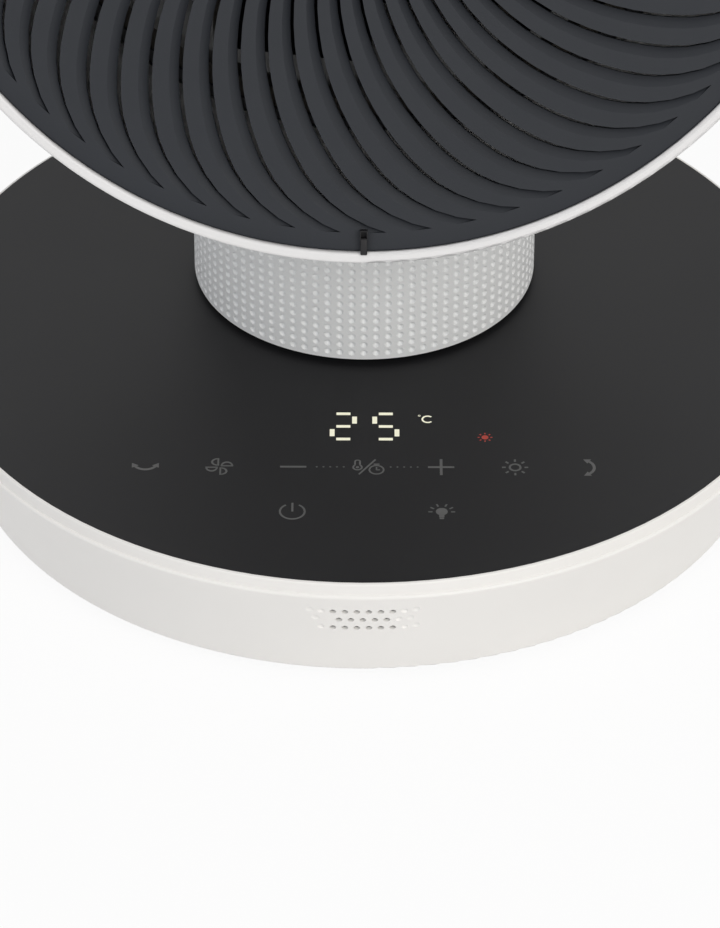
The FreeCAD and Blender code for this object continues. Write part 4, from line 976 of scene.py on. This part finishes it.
class CIRCULATOR_OT_feet(bpy.types.Operator):
    """Rubber feet with a softened edge and a ring groove"""
    bl_idname = "circulator.feet"
    bl_label = "Rubber Feet"

    sides = 48              # straight pieces round a foot

    def foot(self, feet, radius, low, high):
        """One foot about Z."""
        outer = radius - feet.groove_inset
        inner = outer - feet.groove_width
        slope = feet.groove_depth / 2
        floor = low + feet.groove_depth
        outline = rounded([(0, low), (inner, low), (inner + slope, floor), (outer - slope, floor),
                           (outer, low), (radius, low, feet.edge_round), (radius, high), (0, high)])
        bm = bmesh.new()
        turn_outline(bm, outline, self.sides)
        return bm

    def execute(self, context):
        feet = context.scene.circulator_feet
        bm = bmesh.new()
        for low, high in loose_parts("rubber_feet"):
            one = self.foot(feet, (high.x - low.x) / 2, low.z, high.z)
            one.transform(Matrix.Translation(((low.x + high.x) / 2, (low.y + high.y) / 2, 0)))
            append(bm, one)
        as_piece("grooved_feet", bm, "base", FINISHES["rubber_black"], ["rubber_feet"])
        return {"FINISHED"}


class CIRCULATOR_OT_keys(bpy.types.Operator):
    """Printed symbols of the touch keys"""
    bl_idname = "circulator.keys"
    bl_label = "Key Symbols"

    def execute(self, context):
        keys = context.scene.circulator_keys
        upper = keys.row_inset - PANEL_HIGH.x
        lower = keys.lower_row_inset - PANEL_HIGH.x
        row = (draw_swing, draw_fan, draw_minus, draw_heat_or_time, draw_plus, draw_sun, draw_nod)
        marks = [(draw, keys.shift + (i - len(row) // 2) * keys.pitch, upper) for i, draw in enumerate(row)]
        marks += [(draw_dots, keys.shift, upper), (draw_power, keys.shift - keys.pitch, lower),
                  (draw_bulb, keys.shift + keys.pitch, lower)]
        film = stamped(marks, keys.ink)
        as_piece("key_symbols", film, "base", FINISHES["key_print"])
        return {"FINISHED"}


class CIRCULATOR_OT_display(bpy.types.Operator):
    """Lit digits, degree sign and heat signal"""
    bl_idname = "circulator.display"
    bl_label = "Lit Display"

    def execute(self, context):
        keys = context.scene.circulator_keys
        row = keys.digits_inset - PANEL_HIGH.x
        middle = keys.shift - keys.digits_shift
        first = middle - keys.digit_pitch / 2
        two = ("top", "upper_right", "middle", "lower_left", "bottom")
        five = ("top", "upper_left", "middle", "lower_right", "bottom")
        marks = [(lambda bm: draw_digit(bm, two), first, row),
                 (lambda bm: draw_digit(bm, five), first + keys.digit_pitch, row),
                 (draw_celsius, middle + keys.degree_shift, row + keys.degree_rise)]
        as_piece("lit_digits", stamped(marks, keys.ink), "base", FINISHES["digit_light"])
        sun = (draw_small_sun, middle + keys.signal_shift, row - keys.signal_drop)
        signal = stamped([sun], keys.ink)
        as_piece("heat_signal", signal, "base", FINISHES["signal_light"])
        return {"FINISHED"}


class CIRCULATOR_OT_stage(bpy.types.Operator):
    """Pale floor, soft light and the camera"""
    bl_idname = "circulator.stage"
    bl_label = "Stage"

    white = (1.0, 1.0, 1.0)
    warm = (1.0, 0.975, 0.92)
    cool = (0.94, 0.97, 1.0)
    sensor = 36.0           # millimetres along the picture's longer side
    nearest = 0.05          # nothing closer to the camera is drawn

    def seen(self, sheet):
        """1 for rays that show the background itself, directly or in a mirror or glass."""
        rays = [sheet.node("ShaderNodeLightPath", output=f"Is {kind} Ray")
                for kind in ("Camera", "Glossy", "Transmission")]
        return (rays[0] + rays[1] + rays[2]) > 0.5

    def floor(self, scene, stage):
        bm = bmesh.new()
        bmesh.ops.create_grid(bm, x_segments=1, y_segments=1, size=stage.floor_reach)
        mesh = bpy.data.meshes.new("floor")
        bm.to_mesh(mesh)
        bm.free()
        paint = Paint("pale_floor")
        paint.finish({"Base Color": (*shaded(self.white, stage.floor_tone), 1.0), "Roughness": 0.9,
                      "Specular IOR Level": 0.1})
        glow = paint.node("ShaderNodeEmission", {}, {"Color": (*self.white, 1.0), "Strength": 1.0})
        plain = Socket(paint, paint.shader.outputs[0])
        part = self.seen(paint) * stage.floor_glow
        blend = paint.node("ShaderNodeMixShader", {}, {0: part, 1: plain, 2: glow})
        paint.fill(paint.tree.nodes["Material Output"], {"Surface": blend})
        mesh.materials.append(paint.material)
        floor = bpy.data.objects.new("floor", mesh)
        scene.collection.objects.link(floor)

    def sky(self, scene, strength):
        """Even light all round, which looks white where it is seen."""
        scene.world = bpy.data.worlds.new("studio")
        sheet = NodeSheet(scene.world)
        glow = strength + self.seen(sheet) * (1.0 - strength)
        sheet.fill(sheet.tree.nodes["Background"], {"Color": (*self.white, 1.0), "Strength": glow})

    def lamp(self, scene, name, size, place, watts, tint):
        """Round lamp that looks at the middle of the part."""
        middle = (Vector(CAD_BOX[0]) + Vector(CAD_BOX[1])) / 2
        light = bpy.data.lights.new(name, "AREA")
        light.shape = "DISK"
        light.size = size
        light.energy = watts
        light.color = tint
        lamp = bpy.data.objects.new(name, light)
        lamp.location = place
        lamp.rotation_mode = "QUATERNION"
        lamp.rotation_quaternion = (middle - place).to_track_quat("-Z", "Y")
        scene.collection.objects.link(lamp)

    def camera(self, scene, stage):
        pitch, azimuth, roll = stage.camera_pitch, stage.camera_azimuth, stage.camera_roll
        back = Vector((math.sin(azimuth) * math.cos(pitch), -math.cos(azimuth) * math.cos(pitch),
                       math.sin(pitch)))
        right = Vector((math.cos(azimuth), math.sin(azimuth), 0))
        up = back.cross(right)
        right, up = (math.cos(roll) * right + math.sin(roll) * up,
                     math.cos(roll) * up - math.sin(roll) * right)
        data = bpy.data.cameras.new("camera")
        data.lens = stage.lens
        data.sensor_width = self.sensor
        data.clip_start = self.nearest
        camera = bpy.data.objects.new("camera", data)
        turn = Matrix((right, up, back)).transposed().to_4x4()
        camera.matrix_world = Matrix.Translation(stage.camera_place) @ turn
        scene.collection.objects.link(camera)
        scene.camera = camera

    def execute(self, context):
        scene = context.scene
        stage = scene.circulator_stage
        scene.view_settings.view_transform = "Standard"
        self.floor(scene, stage)
        self.sky(scene, stage.sky)
        mirror = Matrix.Diagonal((-1, 1, 1))
        front, behind = Vector(stage.front_lamp), Vector(stage.back_lamp)
        lamps = (("key_light", front, stage.key, self.warm),
                 ("fill_light", mirror @ front, stage.fill, self.cool),
                 ("back_right_light", behind, stage.back, self.white),
                 ("back_left_light", mirror @ behind, stage.back, self.white))
        for name, place, watts, tint in lamps:
            self.lamp(scene, name, stage.lamp_size, place, watts, tint)
        self.camera(scene, stage)
        return {"FINISHED"}


class CIRCULATOR_PT_pieces(bpy.types.Panel):
    """Lists the steps that dress the circulator"""
    bl_idname = "CIRCULATOR_PT_pieces"
    bl_label = "Table Air Circulator"
    bl_space_type = "VIEW_3D"
    bl_region_type = "UI"
    bl_category = "Circulator"

    def draw(self, context):
        for step in STEPS:
            self.layout.operator(step.bl_idname)
        for group in GROUPS:
            box = self.layout.box()
            settings = getattr(context.scene, group)
            for name in settings.__annotations__:
                box.prop(settings, name)


GROUPS = {
    "circulator_colours": CirculatorColours,
    "circulator_neck": CirculatorNeck,
    "circulator_keys": CirculatorKeys,
    "circulator_grille": CirculatorGrille,
    "circulator_feet": CirculatorFeet,
    "circulator_stage": CirculatorStage,
}
STEPS = (CIRCULATOR_OT_finishes, CIRCULATOR_OT_neck, CIRCULATOR_OT_grille, CIRCULATOR_OT_latch,
         CIRCULATOR_OT_screws, CIRCULATOR_OT_feet, CIRCULATOR_OT_keys, CIRCULATOR_OT_display,
         CIRCULATOR_OT_stage)


def register():
    for made in (*GROUPS.values(), *STEPS, CIRCULATOR_PT_pieces):
        bpy.utils.register_class(made)
    for name, group in GROUPS.items():
        setattr(bpy.types.Scene, name, PointerProperty(type=group))


def unregister():
    for name in GROUPS:
        delattr(bpy.types.Scene, name)
    for made in (CIRCULATOR_PT_pieces, *reversed(STEPS), *reversed(GROUPS.values())):
        bpy.utils.unregister_class(made)


def main():
    register()
    for step in STEPS:
        family, name = step.bl_idname.split(".")
        getattr(getattr(bpy.ops, family), name)()


if __name__ == "__main__":
    main()
